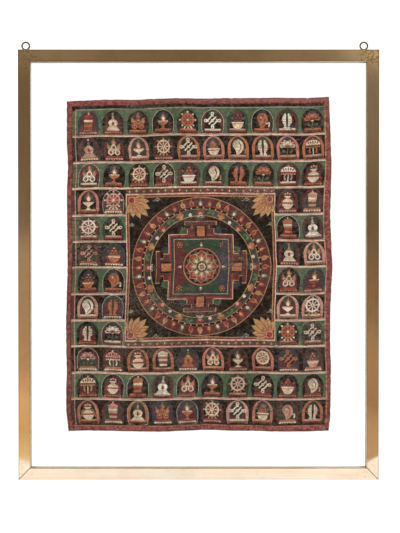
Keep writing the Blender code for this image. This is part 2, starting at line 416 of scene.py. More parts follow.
def bare_cotton_finish(cloth):
    """The unpainted back: cotton that age and smoke have browned, with the primer's glue soaking through."""
    cotton = Finish("aged cotton back")
    place = cotton.place
    clouds = cotton.noise(place, 5.5, 6, 0.68)
    soaked = cotton.noise(place, 34, 4, 0.6).rise(0.50, 0.60)
    aged = cotton.mix(clouds.rise(0.36, 0.66), (0.245, 0.180, 0.115), (0.400, 0.315, 0.215))
    sized = cotton.mix(soaked * 0.5, aged, (0.150, 0.100, 0.065))
    handled = cotton.attribute("from_edge").rise(14, 1) * clouds.fit(0.2, 1.0)
    soiled = cotton.mix(handled, sized, (0.090, 0.052, 0.036))

    # Damp has left a brown tide line round its stains, rolling has left creases across the cloth, and the
    # painting's dark rows show through as bands.
    bands = cotton.noise(cotton.stretch(place, 0.03, 1, 1), 34, 3).rise(0.40, 0.62)
    damp = cotton.noise(place, 6.5, 4, 0.5)
    tide_line = abs(damp - 0.55).rise(0.022, 0.004) * soaked.fit(0.4, 1.0)
    creases = cotton.cracks(cotton.stretch(place, 0.04, 1, 1), 30, 0.055) * clouds.fit(0.2, 1.3).least(1)
    banded = cotton.mix(bands * 0.32, soiled, (0.160, 0.118, 0.082))
    damped = cotton.mix(damp.rise(0.54, 0.57) * 0.35, banded, (0.185, 0.118, 0.066))
    ringed = cotton.mix(tide_line * 0.75, damped, (0.105, 0.058, 0.032))
    # Painted shade: the creases are darkened along their lines.
    crease_shaded = cotton.mix(creases * 0.7, ringed, (0.115, 0.076, 0.050))

    threads = weave_height(cotton, cloth.weave)
    weft_slubs = cotton.noise(cotton.stretch(place, 0.04, 1, 1), 900, 2)
    warp_slubs = cotton.noise(cotton.stretch(place, 1, 1, 0.04), 900, 2)
    slubs = weft_slubs.most(warp_slubs)
    woven = cotton.mix(threads * 0.35, crease_shaded, (0.10, 0.07, 0.045))
    return cotton.set(
        Base_Color=cotton.mix(slubs.rise(0.58, 0.70) * 0.35, woven, (0.52, 0.43, 0.31)),
        Roughness=clouds.fit(0.80, 0.96),
        Specular_IOR_Level=0.2,
        Normal=cotton.bump(threads + slubs - creases, 0.2 * MM),
    )


def thread_finish():
    """Loose cotton ends, browned and here and there red with the border's paint."""
    thread = Finish("cotton thread")
    dyed = thread.noise(thread.place, 70, 2).rise(0.46, 0.56)
    body = thread.mix(dyed, (0.200, 0.140, 0.090), (0.150, 0.048, 0.040))
    fibre = thread.noise(thread.place, 2400, 2)
    return thread.set(
        Base_Color=thread.mix(fibre * 0.4, body, (0.36, 0.28, 0.20)),
        Roughness=fibre.fit(0.75, 0.95),
        Normal=thread.bump(fibre, 0.1 * MM),
    )


# Heights over which the frame passes from its lower to its upper half, where the joints are cleaner.
NEAR_TOP = (-0.3, -0.1)


def brass_finish(name, brass, upright, roughness=1.0, painted_dark_middle=0.0):
    """Polished brass with a fine grain along the rail, a thin uneven tarnish and darker mitres. Roughness
    scales the settings' own, and the last argument is how much more tarnish colour the middle has than
    the ends, as a painted darker reflection there."""
    metal = Finish(name)
    place = metal.place

    def along(scale):
        """The place, drawn out along the rail."""
        return metal.stretch(place, 1, 1, scale) if upright else metal.stretch(place, scale, 1, 1)

    drawn_out = along(0.012)
    grain = metal.noise(drawn_out, 2600, 3, 0.65)
    streaks = metal.noise(drawn_out, 420, 3, 0.5)
    clouds = metal.noise(place, 14, 4, 0.6)
    spots = metal.noise(place, 150, 4, 0.7).rise(0.63, 0.70) * clouds.rise(0.45, 0.60)

    across, deep, up = metal.sides(place)
    depth = abs(deep)
    from_side = HALF_WIDTH - abs(across)
    from_end = HALF_HEIGHT - abs(up - FRAME_MIDDLE)
    inwards = from_side.least(from_end)
    past_mitre = from_side - from_end
    near_top = up.rise(*NEAR_TOP)

    joint = (abs(past_mitre) / sqrt(2)).rise(1.1 * MM, 0.3 * MM) * near_top.fit(1.0, 0.15)

    # The top corners are mottled where they were soldered and filed, and the bottom ones only a little.
    mottle = metal.noise(metal.stretch(place, 1, 1, 1.6), 150, 4, 0.65)
    in_corner = from_side.most(from_end).rise(52 * MM, 20 * MM)
    handled = in_corner * mottle.rise(0.44, 0.58) * near_top.fit(0.25, 1.0)

    # Painted shade: a dark line along each lip of the channel, strongest on the bottom rail. On the top
    # one it is narrow and ends on the right, and darkens the bright floor that the rounded lip mirrors.
    # The outer edges are darker too, less so on the bottom rail.
    level_rail = past_mitre.rise(0, 2 * MM)
    on_foot = up.rise(-0.78, -0.80) * level_rail
    on_head = up.rise(-0.040, -0.030) * level_rail * across.rise(0.16, 0.10)
    lip_shade_strength = on_foot.fit(0.45, 1.0) * across.rise(0.25, 0.19).fit(0.6, 1.0)
    # Painted shade along the lip of the channel.
    lip = inwards.rise(RAIL_FACE - 3.0 * MM, RAIL_FACE - 1.2 * MM) * lip_shade_strength
    top_lip_shade = inwards.rise(RAIL_FACE - 1.0 * MM, RAIL_FACE - 0.4 * MM) * on_head * 1.38
    outer_line = inwards.rise(2.2 * MM, 0.8 * MM) * on_foot.fit(1.0, 0.3)
    # Painted shade on the lips, and darker outer edges.
    edge = outer_line.most(lip).most(top_lip_shade) * depth.rise(5.6 * MM, 6.6 * MM)
    # The inside of the channel is matt and pale: painted light for the bright strip just inside the rails.
    inside = depth.rise(6.0 * MM, 5.7 * MM) * inwards.rise(0.8 * MM, 1.6 * MM)

    tarnish = clouds.rise(0.42, 0.68) * 0.22 + streaks.rise(0.5, 0.7) * 0.14
    # Painted darker reflection: more of the tarnish colour towards the middle of the rail, so that its ends
    # look brighter.
    if painted_dark_middle:
        tarnish = tarnish + abs(across + 0.035).rise(0.32, 0.03) * painted_dark_middle
    greener = metal.noise(drawn_out, 150, 2, 0.5).rise(0.40, 0.60)
    redder = metal.noise(along(0.10), 120, 3, 0.5).rise(0.50, 0.68) * 0.7
    warmed = metal.mix(redder, metal.mix(greener, brass.polished, brass.olive), brass.reddish)
    dulled = metal.mix(tarnish.least(1), warmed, brass.tarnish)
    blotches = metal.noise(place, 230, 3, 0.6).rise(0.42, 0.58)
    mottled = metal.mix(blotches, (0.52, 0.42, 0.24), (0.98, 0.66, 0.30))
    spotted = metal.mix((spots * 0.5).most(handled * 0.8), dulled, mottled)
    jointed = metal.mix(joint * 0.7, spotted, brass.solder)
    # Painted shade along the lips, and darker outer edges, in the edge colour.
    edged = metal.mix(edge * 0.72, jointed, brass.edge)
    # Painted shade: the inside of the right rail is darker.
    inside_light_and_shade = metal.mix(across.rise(0.30, 0.33), brass.inside_light_and_shade, (0.38, 0.26, 0.15))
    polish = (grain.fit(0.7, 1.3) * brass.roughness + clouds * 0.01) * roughness
    wear = (spots + joint) * 0.25 + handled * 0.22 + edge * 0.1 + inside * 0.5
    return metal.set(
        Base_Color=metal.mix(inside, edged, inside_light_and_shade),
        Metallic=1 - inside,
        Roughness=(polish + wear).least(1),
        Normal=metal.bump(grain * 0.5 + streaks * 0.5, 0.004 * MM),
    )


def wire_finish(brass):
    """Darkened brass wire, a little lighter in cloudy patches."""
    metal = Finish("dull brass wire")
    clouds = metal.noise(metal.place, 260, 4, 0.6)
    pits = metal.noise(metal.place, 1500, 3, 0.6)
    dark = [0.55 * level for level in brass.wire]
    return metal.set(
        Base_Color=metal.mix(clouds.rise(0.40, 0.62), dark, brass.wire),
        Metallic=0.2,
        Specular_IOR_Level=0.1,
        Roughness=clouds.fit(0.50, 0.70),
        Normal=metal.bump(pits, 0.04 * MM),
    )


def solder_finish(brass):
    """Solder in the mitres: dark with flux in the bottom ones, filed flush and clean in the top ones."""
    metal = Finish("darkened solder")
    _, _, up = metal.sides(metal.place)
    flush = up.rise(*NEAR_TOP)
    specks = metal.noise(metal.place, 1400, 3)
    light = [2.2 * level for level in brass.solder]
    fluxed = metal.mix(specks.rise(0.45, 0.65), brass.solder, light)
    return metal.set(
        Base_Color=metal.mix(flush * 0.85, fluxed, brass.tarnish),
        Metallic=0.9,
        Roughness=specks.fit(0.35, 0.6) - flush * 0.2,
        Normal=metal.bump(specks, 0.03 * MM),
    )


def pane_finish(pane):
    """Clear sheet that shows what is behind it, and mirrors more of the room when seen more edge on."""
    clear = Finish("clear sheet")
    inside = clear.node("NewGeometry", None, None, "Backfacing")
    bending = inside * (1 / pane.bending - pane.bending) + pane.bending
    wiped = clear.noise(clear.stretch(clear.place, 1, 1, 0.25), 22, 4, 0.6)
    dust = clear.noise(clear.place, 1900, 2, 0.6).rise(0.735, 0.76)
    mirrored = clear.node("Fresnel", None, {"IOR": bending})
    through = clear.node("BsdfTransparent", None, {"Color": pane.tint})
    gloss = clear.node("BsdfAnisotropic", {"distribution": "GGX"}, {"Color": (1, 1, 1)})
    clear.feed(gloss.socket.node, "Roughness", wiped.fit(pane.roughness * 0.5, pane.roughness * 2))
    film = clear.node("BsdfDiffuse", None, {"Color": (0.55, 0.54, 0.52)})
    glazed = clear.node("MixShader", None, {"Fac": mirrored, "Shader": through, "Shader_001": gloss})
    dusty = clear.node("MixShader", None, {"Fac": dust * 0.05, "Shader": glazed, "Shader_001": film})
    clear.feed(clear.tree.nodes["Material Output"], "Surface", dusty)
    clear.tree.nodes.remove(clear.surface)
    return clear.material


def floor_finish(studio):
    """Pale matt paper, a little cool."""
    paper = Finish("pale paper")
    clouds = paper.noise(paper.place, 3, 3)
    shade = [0.97 * level for level in studio.floor]
    return paper.set(Base_Color=paper.mix(clouds, shade, studio.floor), Roughness=clouds.fit(0.85, 0.95))


# ---- outlines ------------------------------------------------------------------------------------
# A point of the drawing is a complex number: its real side runs to the right and its other side upwards.


def arc(radius, start, end, steps=10, centre=0):
    """Points along an arc. Its angles are in degrees, from the right, anticlockwise."""
    return centre + radius * np.exp(1j * np.radians(np.linspace(start, end, steps + 1)))


def oval(across, up, centre=0, steps=14):
    turn = 2 * pi * np.arange(steps) / steps
    return centre + across * np.cos(turn) + 1j * up * np.sin(turn)


def disc(radius, centre=0, steps=14):
    return oval(radius, radius, centre, steps)


def rectangle(left, low, right, high):
    return np.array([left + 1j * low, right + 1j * low, right + 1j * high, left + 1j * high])


def mirrored(outline):
    """An outline turned over from left to right."""
    return -np.conj(outline)


def both_sides(right_side):
    """A whole outline from its right-hand half, which is listed from the foot up."""
    return np.concatenate((right_side, mirrored(right_side)[::-1]))


def smooth(points, closed=True, steps=3):
    """A curved line through a few points."""
    points = np.asarray(points, complex)
    if closed:
        before, after, beyond = (np.roll(points, shift) for shift in (1, -1, -2))
        here = points
    else:
        padded = np.concatenate(([2 * points[0] - points[1]], points, [2 * points[-1] - points[-2]]))
        before, here, after, beyond = padded[:-3], padded[1:-2], padded[2:-1], padded[3:]
    slope = after - before
    bend = 2 * before - 5 * here + 4 * after - beyond
    twist = 3 * here - before - 3 * after + beyond
    parts = [0.5 * (2 * here + slope * t + bend * t**2 + twist * t**3) for t in np.arange(steps) / steps]
    line = np.stack(parts, 1).ravel()
    return line if closed else np.append(line, points[-1])


def petal(height, width, widest=0.75, steps=4):
    """A pointed petal that grows up from the origin. Widest says how far up it is widest."""
    shares = np.arange(1, steps) / steps
    right_side = width / 2 * np.sin(pi * shares ** (log(0.5) / log(widest))) + 1j * height * shares
    return np.concatenate(([0], right_side, [1j * height], mirrored(right_side)[::-1]))


def ribbon(points, start_width, end_width=None):
    """A stroke along a line, whose width eases from its start to its end."""
    points = np.asarray(points, complex)
    end_width = start_width if end_width is None else end_width
    way = np.gradient(points)
    aside = 1j * way / np.abs(way)
    half = np.linspace(start_width, end_width, len(points)) / 2
    return np.concatenate((points - aside * half, (points + aside * half)[::-1]))


def turned(outline, degrees):
    return outline * np.exp(1j * radians(degrees))


def grown(outline, margin):
    """An outline moved outwards all round. It runs anticlockwise first, whichever way it was given."""
    outline = np.asarray(outline, complex)
    following = np.roll(outline, -1)
    if np.sum(outline.real * following.imag - following.real * outline.imag) < 0:
        outline = outline[::-1]
    way = np.roll(outline, -1) - np.roll(outline, 1)
    return outline - 1j * way / np.maximum(np.abs(way), 1e-9) * margin


class Drawing:
    """Painted shapes on the flat cloth, in millimetres. A later shape covers an earlier one."""

    def __init__(self):
        self.shapes = []

    def fill(self, outline, pigment):
        self.shapes.append((np.asarray(outline, complex), pigment))


class Brush:
    """Draws in a motif's own frame: its middle is the origin, and 1 is its size."""

    def __init__(self, drawing, middle, size, lean=0):
        self.drawing = drawing
        self.middle = middle
        self.size = size
        self.turn = np.exp(1j * radians(lean))

    def fill(self, outline, pigment, line=None, line_mm=0.55):
        """Fills an outline, with a drawn line round it where a second pigment is named."""
        placed = self.middle + self.size * self.turn * np.asarray(outline, complex)
        if line:
            self.drawing.fill(grown(placed, line_mm), line)
        self.drawing.fill(placed, pigment)

    def stroke(self, points, width, end_width=None, pigment="cream", line=None):
        self.fill(ribbon(smooth(points, closed=False), width, end_width), pigment, line)

    def at(self, middle, size=1, lean=0):
        """A brush for a smaller motif inside this one."""
        place = self.middle + self.size * self.turn * middle
        smaller = Brush(self.drawing, place, self.size * size, lean)
        smaller.turn = smaller.turn * self.turn
        return smaller


# ---- motifs --------------------------------------------------------------------------------------
# Each sign stands on a lotus seat whose top is at -0.5, and reaches up to about 0.75.

Tint = namedtuple("Tint", "main accent second line")


def draw_flower(brush, tint, petals=8, reach=1.0):
    """An open flower seen from above."""
    for step in range(petals):
        lean = 360 * step / petals
        brush.fill(turned(petal(reach, 0.62 * reach), lean), tint.main, tint.line)
        brush.fill(turned(petal(0.72 * reach, 0.26 * reach), lean), tint.accent)
    brush.fill(disc(0.26 * reach), tint.second, tint.line)


def draw_flame(brush, outer, inner):
    """A tongue of flame that grows up from the origin."""
    tongue = smooth([
        -0.02 - 0.1j, 0.30 + 0.12j, 0.26 + 0.48j, 0.06 + 0.70j, 0.10 + 1.02j, -0.20 + 0.62j, -0.30 + 0.30j,
    ])
    brush.fill(tongue, outer)
    brush.fill(tongue * 0.55 + 0.04j, inner)


def draw_seat(brush, cushion, petals, line):
    """A cushion on a row of lotus petals, which the sign stands on."""
    brush.fill(smooth(both_sides([0.50 - 0.99j, 0.78 - 0.90j, 0.70 - 0.74j, 0.56 - 0.66j])), line)
    for step in (-3, 3, -2, 2, -1, 1, 0):
        brush.fill(turned(petal(0.27, 0.25), -12 * step) + 0.175 * step - 0.97j, petals, line, 0.4)
    brush.fill(smooth(both_sides([0.56 - 0.74j, 0.64 - 0.68j, 0.56 - 0.60j])), cushion, line, 0.4)


def draw_lotus(brush, tint):
    """A lotus seen from the side, on its stalk."""
    brush.stroke([-0.55j, -0.05 - 0.35j, 0.02 - 0.10j], 0.09, 0.07, "green", tint.line)
    for side in (-1, 1):
        brush.fill(turned(petal(0.42, 0.20), -side * 62) + side * 0.03 - 0.38j, "green", tint.line)
    for lean in (72, -72, 46, -46, 22, -22):
        brush.fill(turned(petal(0.62, 0.28), lean) + 0.02j, tint.main, tint.line)
        brush.fill(turned(petal(0.60, 0.10), lean) + 0.02j, tint.accent)
    for lean in (34, -34, 0):
        brush.fill(turned(petal(0.56, 0.30), lean) - 0.02j, tint.main, tint.line)
        brush.fill(turned(petal(0.34, 0.12), lean) - 0.02j, tint.accent)
    brush.fill(oval(0.09, 0.06, 0.02j), tint.second)


def draw_wheel(brush, tint):
    """A wheel of eight spokes on a low stand."""
    stand = [-0.30 - 0.52j, -0.16 - 0.34j, 0.16 - 0.34j, 0.30 - 0.52j]
    brush.stroke(stand, 0.10, 0.10, tint.second, tint.line)
    hub = 0.14j
    brush.fill(disc(0.50, hub, 28), tint.main, tint.line)
    brush.fill(disc(0.38, hub, 24), tint.accent)
    for step in range(8):
        spoke = turned(rectangle(-0.035, 0.08, 0.035, 0.60), 45 * step)
        brush.fill(spoke + hub, tint.main)
        brush.fill(disc(0.07, hub + 0.60 * np.exp(1j * radians(45 * step + 90)), 8), tint.second)
    brush.fill(disc(0.15, hub), tint.main, tint.line)
    brush.fill(disc(0.08, hub, 10), tint.second)


def draw_vase(brush, tint):
    """A full vase with three flowers and a sash."""
    for lean in (-38, 0, 38):
        stem = turned(np.array([0, 0.12j, 0.26j]), lean) + 0.30j
        brush.fill(ribbon(stem, 0.05), "green")
        brush.fill(oval(0.12, 0.11, stem[-1], 12), tint.accent, tint.line)
        brush.fill(disc(0.05, stem[-1], 8), tint.main)
    side = [0.15 - 0.54j, 0.40 - 0.26j, 0.42 - 0.02j, 0.17 + 0.16j, 0.15 + 0.26j, 0.27 + 0.36j]
    brush.fill(smooth(both_sides(side)), tint.main, tint.line)
    brush.fill(both_sides([0.405 - 0.20j, 0.425 - 0.08j]), tint.accent)
    for step in range(-2, 3):
        brush.fill(disc(0.04, 0.16 * step - 0.14j, 8), tint.second)
    brush.fill(both_sides([0.16 + 0.15j, 0.16 + 0.21j]), tint.second)
    for side in (-1, 1):
        sash = [side * 0.16 + 0.20j, side * 0.40 + 0.14j, side * 0.46 - 0.12j, side * 0.58 - 0.34j]
        brush.stroke(sash, 0.07, 0.13, tint.accent, tint.line)


def draw_conch(brush, tint):
    """A conch shell with its whorl and a ribbon."""
    shell = smooth([
        -0.10 - 0.52j, 0.22 - 0.34j, 0.40 + 0.02j, 0.34 + 0.38j, 0.06 + 0.60j, -0.28 + 0.50j, -0.40 + 0.20j,
        -0.26 - 0.06j, -0.16 - 0.28j,
    ])
    brush.fill(shell, tint.main, tint.line)
    brush.stroke([-0.06 - 0.40j, 0.14 - 0.14j, 0.20 + 0.16j, 0.06 + 0.38j], 0.03, 0.10, tint.accent)
    for radius in (0.26, 0.15):
        whorl = arc(radius, 30, 300, 12, -0.08 + 0.28j)
        brush.fill(ribbon(whorl, 0.045, 0.02), tint.line)
    brush.fill(disc(0.06, -0.08 + 0.28j, 8), tint.second)
    brush.stroke([0.30 - 0.20j, 0.52 - 0.10j, 0.50 - 0.42j], 0.05, 0.12, tint.second, tint.line)


def draw_jewels(brush, tint):
    """Three gems with flames behind them."""
    for centre, lean in ((-0.30 - 0.06j, 18), (0.30 - 0.06j, -18), (0.30j, 0)):
        draw_flame(brush.at(centre + 0.04j, 0.50, lean), "orange", "ochre")
    for centre in (-0.24 - 0.22j, 0.24 - 0.22j, 0.12j):
        gem = smooth(both_sides([-0.24j, 0.20 - 0.10j, 0.18 + 0.10j, 0.04 + 0.27j])) + centre
        brush.fill(gem, tint.main, tint.line)
        brush.fill(gem * 0.55 + centre * 0.45, tint.accent)
        brush.fill(oval(0.04, 0.05, centre + 0.06j, 8), tint.second)


def draw_banner(brush, tint):
    """A round banner of stacked cloth bands on its pole."""
    brush.fill(rectangle(-0.03, -0.55, 0.03, 0.75), tint.second, tint.line)
    for step, pigment in enumerate((tint.main, tint.accent, tint.main, tint.second, tint.main)):
        low = -0.40 + 0.17 * step
        wide = 0.27 + 0.015 * step
        brush.fill(both_sides([wide + 1j * low, wide + 0.01 + 1j * (low + 0.16)]), pigment, tint.line, 0.35)
    for step in range(-2, 3):
        brush.fill(petal(-0.20, 0.13) + 0.125 * step - 0.38j, tint.accent, tint.line, 0.35)
    brush.fill(smooth(both_sides([0.34 + 0.44j, 0.30 + 0.56j, 0.10 + 0.66j])), tint.main, tint.line)
    draw_flame(brush.at(0.66j, 0.26), tint.accent, tint.second)


def draw_parasol(brush, tint):
    """A parasol with ribs, a fringe and two sashes."""
    brush.fill(rectangle(-0.03, -0.55, 0.03, 0.35), tint.main, tint.line)
    for side in (-1, 1):
        sash = [side * 0.10 + 0.10j, side * 0.26 - 0.12j, side * 0.20 - 0.40j]
        brush.stroke(sash, 0.06, 0.12, tint.second, tint.line)
    dome = np.concatenate((arc(0.54, 0, 180, 14, 0.18j), [-0.5 + 0.10j, 0.5 + 0.10j]))
    brush.fill(dome.real + 1j * (0.18 + 0.74 * (dome.imag - 0.18)), tint.main, tint.line)
    for step in range(-2, 3):
        brush.fill(turned(petal(0.36, 0.13), -17 * step) + 0.16j + 0.10 * step, tint.accent)
    for step in range(-3, 4):
        brush.fill(petal(-0.17, 0.14) + 0.15 * step + 0.15j, tint.second, tint.line, 0.35)
    brush.fill(both_sides([0.55 + 0.12j, 0.55 + 0.20j]), tint.accent)
    brush.fill(oval(0.07, 0.09, 0.64j, 10), tint.second, tint.line)


KNOT_PITCH = 0.27
KNOT_BAND = 0.055


def draw_knot(brush, tint):
    """The knot that has no end: three pairs of crossing bands inside a looped edge."""
    centre = 0.10j
    brush.fill(turned(rectangle(-0.42, -0.42, 0.42, 0.42), 45) + centre, tint.line)
    for loop in (0.50, 0.50j, -0.50, -0.50j):
        brush.fill(disc(0.13, loop * 1.04 + centre, 14), tint.main, tint.line)
        brush.fill(disc(0.06, loop * 1.04 + centre, 10), tint.accent)
    for step in (-1, 0, 1):
        offset = KNOT_PITCH * step
        band = rectangle(-0.40, offset - KNOT_BAND, 0.40, offset + KNOT_BAND)
        brush.fill(turned(band, 45) + centre, tint.main, tint.line, 0.35)
    for step in (-1, 0, 1):
        for across in (-1, 0, 1):
            if (step + across) % 2 == 0:
                left, middle = KNOT_PITCH * step - KNOT_BAND, KNOT_PITCH * across
                over = rectangle(left, middle - 0.125, left + 2 * KNOT_BAND, middle + 0.125)
                brush.fill(turned(over, 45) + centre, tint.main, tint.line, 0.35)


def draw_fishes(brush, tint):
    """Two fishes that stand face to face."""
    body = smooth([
        0.30 - 0.52j, 0.20 - 0.34j, 0.36 - 0.08j, 0.36 + 0.24j, 0.16 + 0.58j, 0.07 + 0.46j, 0.10 + 0.16j,
        0.08 - 0.10j, 0.06 - 0.36j, 0.04 - 0.56j,
    ])
    fin = np.array([0.34 - 0.04j, 0.52 + 0.04j, 0.37 + 0.22j])
    for side in (-1, 1):
        brush.fill(body if side > 0 else mirrored(body), tint.main, tint.line)
        brush.fill(fin if side > 0 else mirrored(fin), tint.accent, tint.line)
        brush.fill(oval(0.035, 0.045, side * 0.20 + 0.42j, 8), tint.line)
        for step in range(3):
            scale = arc(0.09, 200, 340, 6, side * 0.22 + 1j * (0.22 - 0.17 * step))
            brush.fill(ribbon(scale, 0.035), tint.accent)


def draw_shrine(brush, tint):
    """A stepped reliquary mound with its spire."""
    for half, low, high in ((0.44, -0.54, -0.42), (0.36, -0.42, -0.32), (0.28, -0.32, -0.24)):
        brush.fill(both_sides([half + 1j * low, half + 1j * high]), tint.main, tint.line, 0.35)
    dome = smooth(both_sides([0.20 - 0.24j, 0.33 - 0.06j, 0.30 + 0.12j, 0.12 + 0.24j]))
    brush.fill(dome, tint.main, tint.line)
    brush.fill(smooth(both_sides([0.06 - 0.18j, 0.10 - 0.04j, 0.03 + 0.10j])), tint.accent)
    brush.fill(both_sides([0.13 + 0.22j, 0.13 + 0.31j]), tint.second, tint.line, 0.35)
    brush.fill(both_sides([0.09 + 0.31j, 0.025 + 0.66j]), tint.accent, tint.line)
    for step in range(4):
        half, low = 0.085 - 0.014 * step, 0.35 + 0.07 * step
        brush.fill(both_sides([half + 1j * low, half - 0.005 + 1j * (low + 0.03)]), tint.main)
    brush.fill(oval(0.08, 0.05, 0.70j, 10), tint.second, tint.line)


def draw_lamp(brush, tint):
    """A butter lamp: a footed bowl with its flame."""
    bowl = smooth(both_sides([0.28 - 0.54j, 0.10 - 0.44j, 0.07 - 0.28j, 0.30 - 0.12j, 0.36 + 0.06j]))
    brush.fill(bowl, tint.main, tint.line)
    brush.fill(both_sides([0.36 + 0.02j, 0.36 + 0.09j]), tint.second, tint.line, 0.35)
    brush.fill(both_sides([0.12 - 0.40j, 0.10 - 0.34j]), tint.accent)
    draw_flame(brush.at(0.10j, 0.62), "orange", "pale")


def draw_fruit(brush, tint):
    """A bowl heaped with round fruit."""
    for centre in (-0.20 + 0.06j, 0.20 + 0.06j, 0.06j, -0.11 + 0.26j, 0.11 + 0.26j, 0.44j):
        brush.fill(disc(0.15, centre, 14), tint.accent, tint.line)
        brush.fill(disc(0.05, centre + 0.05j, 8), tint.second)
    for side in (-1, 1):
        brush.fill(turned(petal(0.40, 0.17), -side * 56) + side * 0.20 + 0.10j, "green", tint.line)
    bowl = smooth(both_sides([0.18 - 0.54j, 0.34 - 0.34j, 0.44 - 0.08j, 0.40 - 0.02j]))
    brush.fill(bowl, tint.main, tint.line)
    brush.fill(both_sides([0.41 - 0.20j, 0.44 - 0.12j]), tint.second)


def draw_cloud(brush, main, shade, line):
    """Curled cloud heads over a trailing tail."""
    brush.stroke([-0.9 - 0.5j, -0.45 - 0.42j, 0.1 - 0.40j, 0.55 - 0.30j], 0.06, 0.34, shade, line)
    for centre, radius in ((-0.18 - 0.22j, 0.30), (0.62 - 0.12j, 0.30), (0.22 + 0.12j, 0.40)):
        brush.fill(oval(radius, radius * 0.85, centre, 18), main, line)
        brush.fill(ribbon(arc(radius * 0.62, -60, 230, 12, centre), 0.07, 0.03), shade)
        brush.fill(oval(radius * 0.22, radius * 0.2, centre, 8), shade)


SIGNS = [
    draw_vase, draw_wheel, draw_lotus, draw_jewels, draw_conch, draw_banner,
    draw_knot, draw_parasol, draw_lamp, draw_fishes, draw_shrine, draw_fruit,
]


# ---- painting ------------------------------------------------------------------------------------

# Widths in millimetres: the red edge, then the strip and the lines inside it, and the line between two rows.
EDGE_LEFT, EDGE_TOP, EDGE_LOW = 9.3, 11.1, 9.6
STRIP = 6.0
THIN_LINE = 2.0
CORAL_LINE = 1.9
BLACK_LINE = 0.6
ROW_LINE = 4.2

# The right side's red is painted over the ends of the rows. How far in from that side the rows and the last
# column end and the red begins, and how far in it ends at some shares of the cloth's height.
ROW_END, COLUMN_END, RED_START = 4.0, 10.5, 2.5
EDGE_RIGHT = ((0.00, 7.0), (0.12, 7.6), (0.36, 9.2), (0.58, 12.2), (0.80, 10.0), (1.00, 8.8))

# The field's rows and columns of niches. The middle has none: it holds the roundel.
COLUMNS = 10
ROWS = 12
FULL_ROWS = 3
SIDE_COLUMNS = 2

# In millimetres, in the middle panel: the bands of scrolls at its top and foot and the lines along them, the
# sprays' size and how far in from their corners they stand, how far the clouds stand from them, and the room
# between the roundel and the panel's sides.
SCROLL_BAND = 11.0
SCROLL_LINE = 1.3
SPRAY, SPRAY_INSET = 44, 11
CLOUD_STEP = 46
ROUNDEL_ROOM = 9

Niche = namedtuple("Niche", "rim inside halo cushion petals sign")

# Niches with bolsters on the dark rows, and with a dark arch on the green ones.
DARK_NICHES = [
    Niche("maroon", "black", "deep_green", "red", "pink", Tint("cream", "red", "ochre", "black")),
    Niche("orange", "black", "deep_green", "pink", "red", Tint("cream", "red", "orange", "black")),
    Niche("pink", "maroon", "deep_green", "cream", "orange", Tint("pale", "maroon", "ochre", "black")),
    Niche("coral", "black", "slate", "ochre", "red", Tint("cream", "orange", "red", "black")),
    Niche("maroon", "deep_green", "black", "orange", "cream", Tint("pink", "red", "cream", "black")),
    Niche("slate", "maroon", "deep_green", "red", "cream", Tint("orange", "red", "cream", "black")),
]
GREEN_NICHES = [
    Niche("black", "maroon", "black", "red", "orange", Tint("cream", "red", "ochre", "black")),
    Niche("deep_green", "black", "maroon", "pink", "red", Tint("cream", "maroon", "orange", "black")),
    Niche("maroon", "black", "deep_green", "cream", "red", Tint("pale", "red", "pink", "black")),
    Niche("black", "black", "slate", "orange", "red", Tint("orange", "red", "cream", "black")),
    Niche("slate", "maroon", "deep_green", "red", "pink", Tint("red", "orange", "cream", "black")),
]


def arch(half, low, high):
    """A niche's round-headed arch, with a slight point."""
    spring = low + (high - low) * 0.45
    rise = high - spring
    head = arc(1, 10, 82, 5)
    right_side = [half * 0.88 + 1j * low, half * 0.98 + 1j * (low + spring) / 2]
    right_side += [half * point.real + 1j * (spring + rise * point.imag) for point in head]
    outline = both_sides(right_side)
    return np.insert(outline, len(right_side), 1j * high * 1.02)


def draw_niche(drawing, middle, size, niche, draw_sign, luck):
    """One sign on its seat in an arch, a little different each time."""
    brush = Brush(drawing, middle, size, luck.uniform(-1.5, 1.5))
    half = luck.uniform(0.86, 0.93)
    brush.fill(arch(half, -0.98, 0.97), niche.rim, "pale" if luck.random() < 0.2 else "black", 0.5)
    brush.fill(arch(half * 0.74, -0.98, 0.86), niche.inside)
    brush.fill(oval(0.40, 0.42, 0.46j, 16), niche.halo, "black", 0.4)
    draw_seat(brush, niche.cushion, niche.petals, niche.sign.line)
    draw_sign(brush.at(-0.03j, luck.uniform(1.08, 1.18)), niche.sign)


def draw_scroll_band(drawing, left, low, right, high):
    """A band of leafy scrolls between two pale lines."""
    drawing.fill(rectangle(left, low, right, high), "pink")
    drawing.fill(rectangle(left, low + SCROLL_LINE, right, high - SCROLL_LINE), "maroon")
    middle = (low + high) / 2
    half = (high - low) / 2 - SCROLL_LINE
    count = round((right - left) / (half * 3.2))
    pitch = (right - left) / count
    for step in range(count):
        side = 1 if step % 2 else -1
        brush = Brush(drawing, left + pitch * (step + 0.5) + 1j * middle, half)
        vine = [-1.6 - 0.6j * side, -0.8 + 0.2j * side, 0.7j * side, 0.9 + 0.2j * side, 1.6 - 0.6j * side]
        brush.stroke(vine, 0.22, 0.22, "green")
        for lean in (-60, 60, 0):
            leaf = turned(petal(0.95 * side, 0.60), lean * side) - 0.35j * side
            brush.fill(leaf, "orange" if lean else "cream", "black", 0.3)
        brush.fill(disc(0.2, -0.35j * side, 6), "ochre")


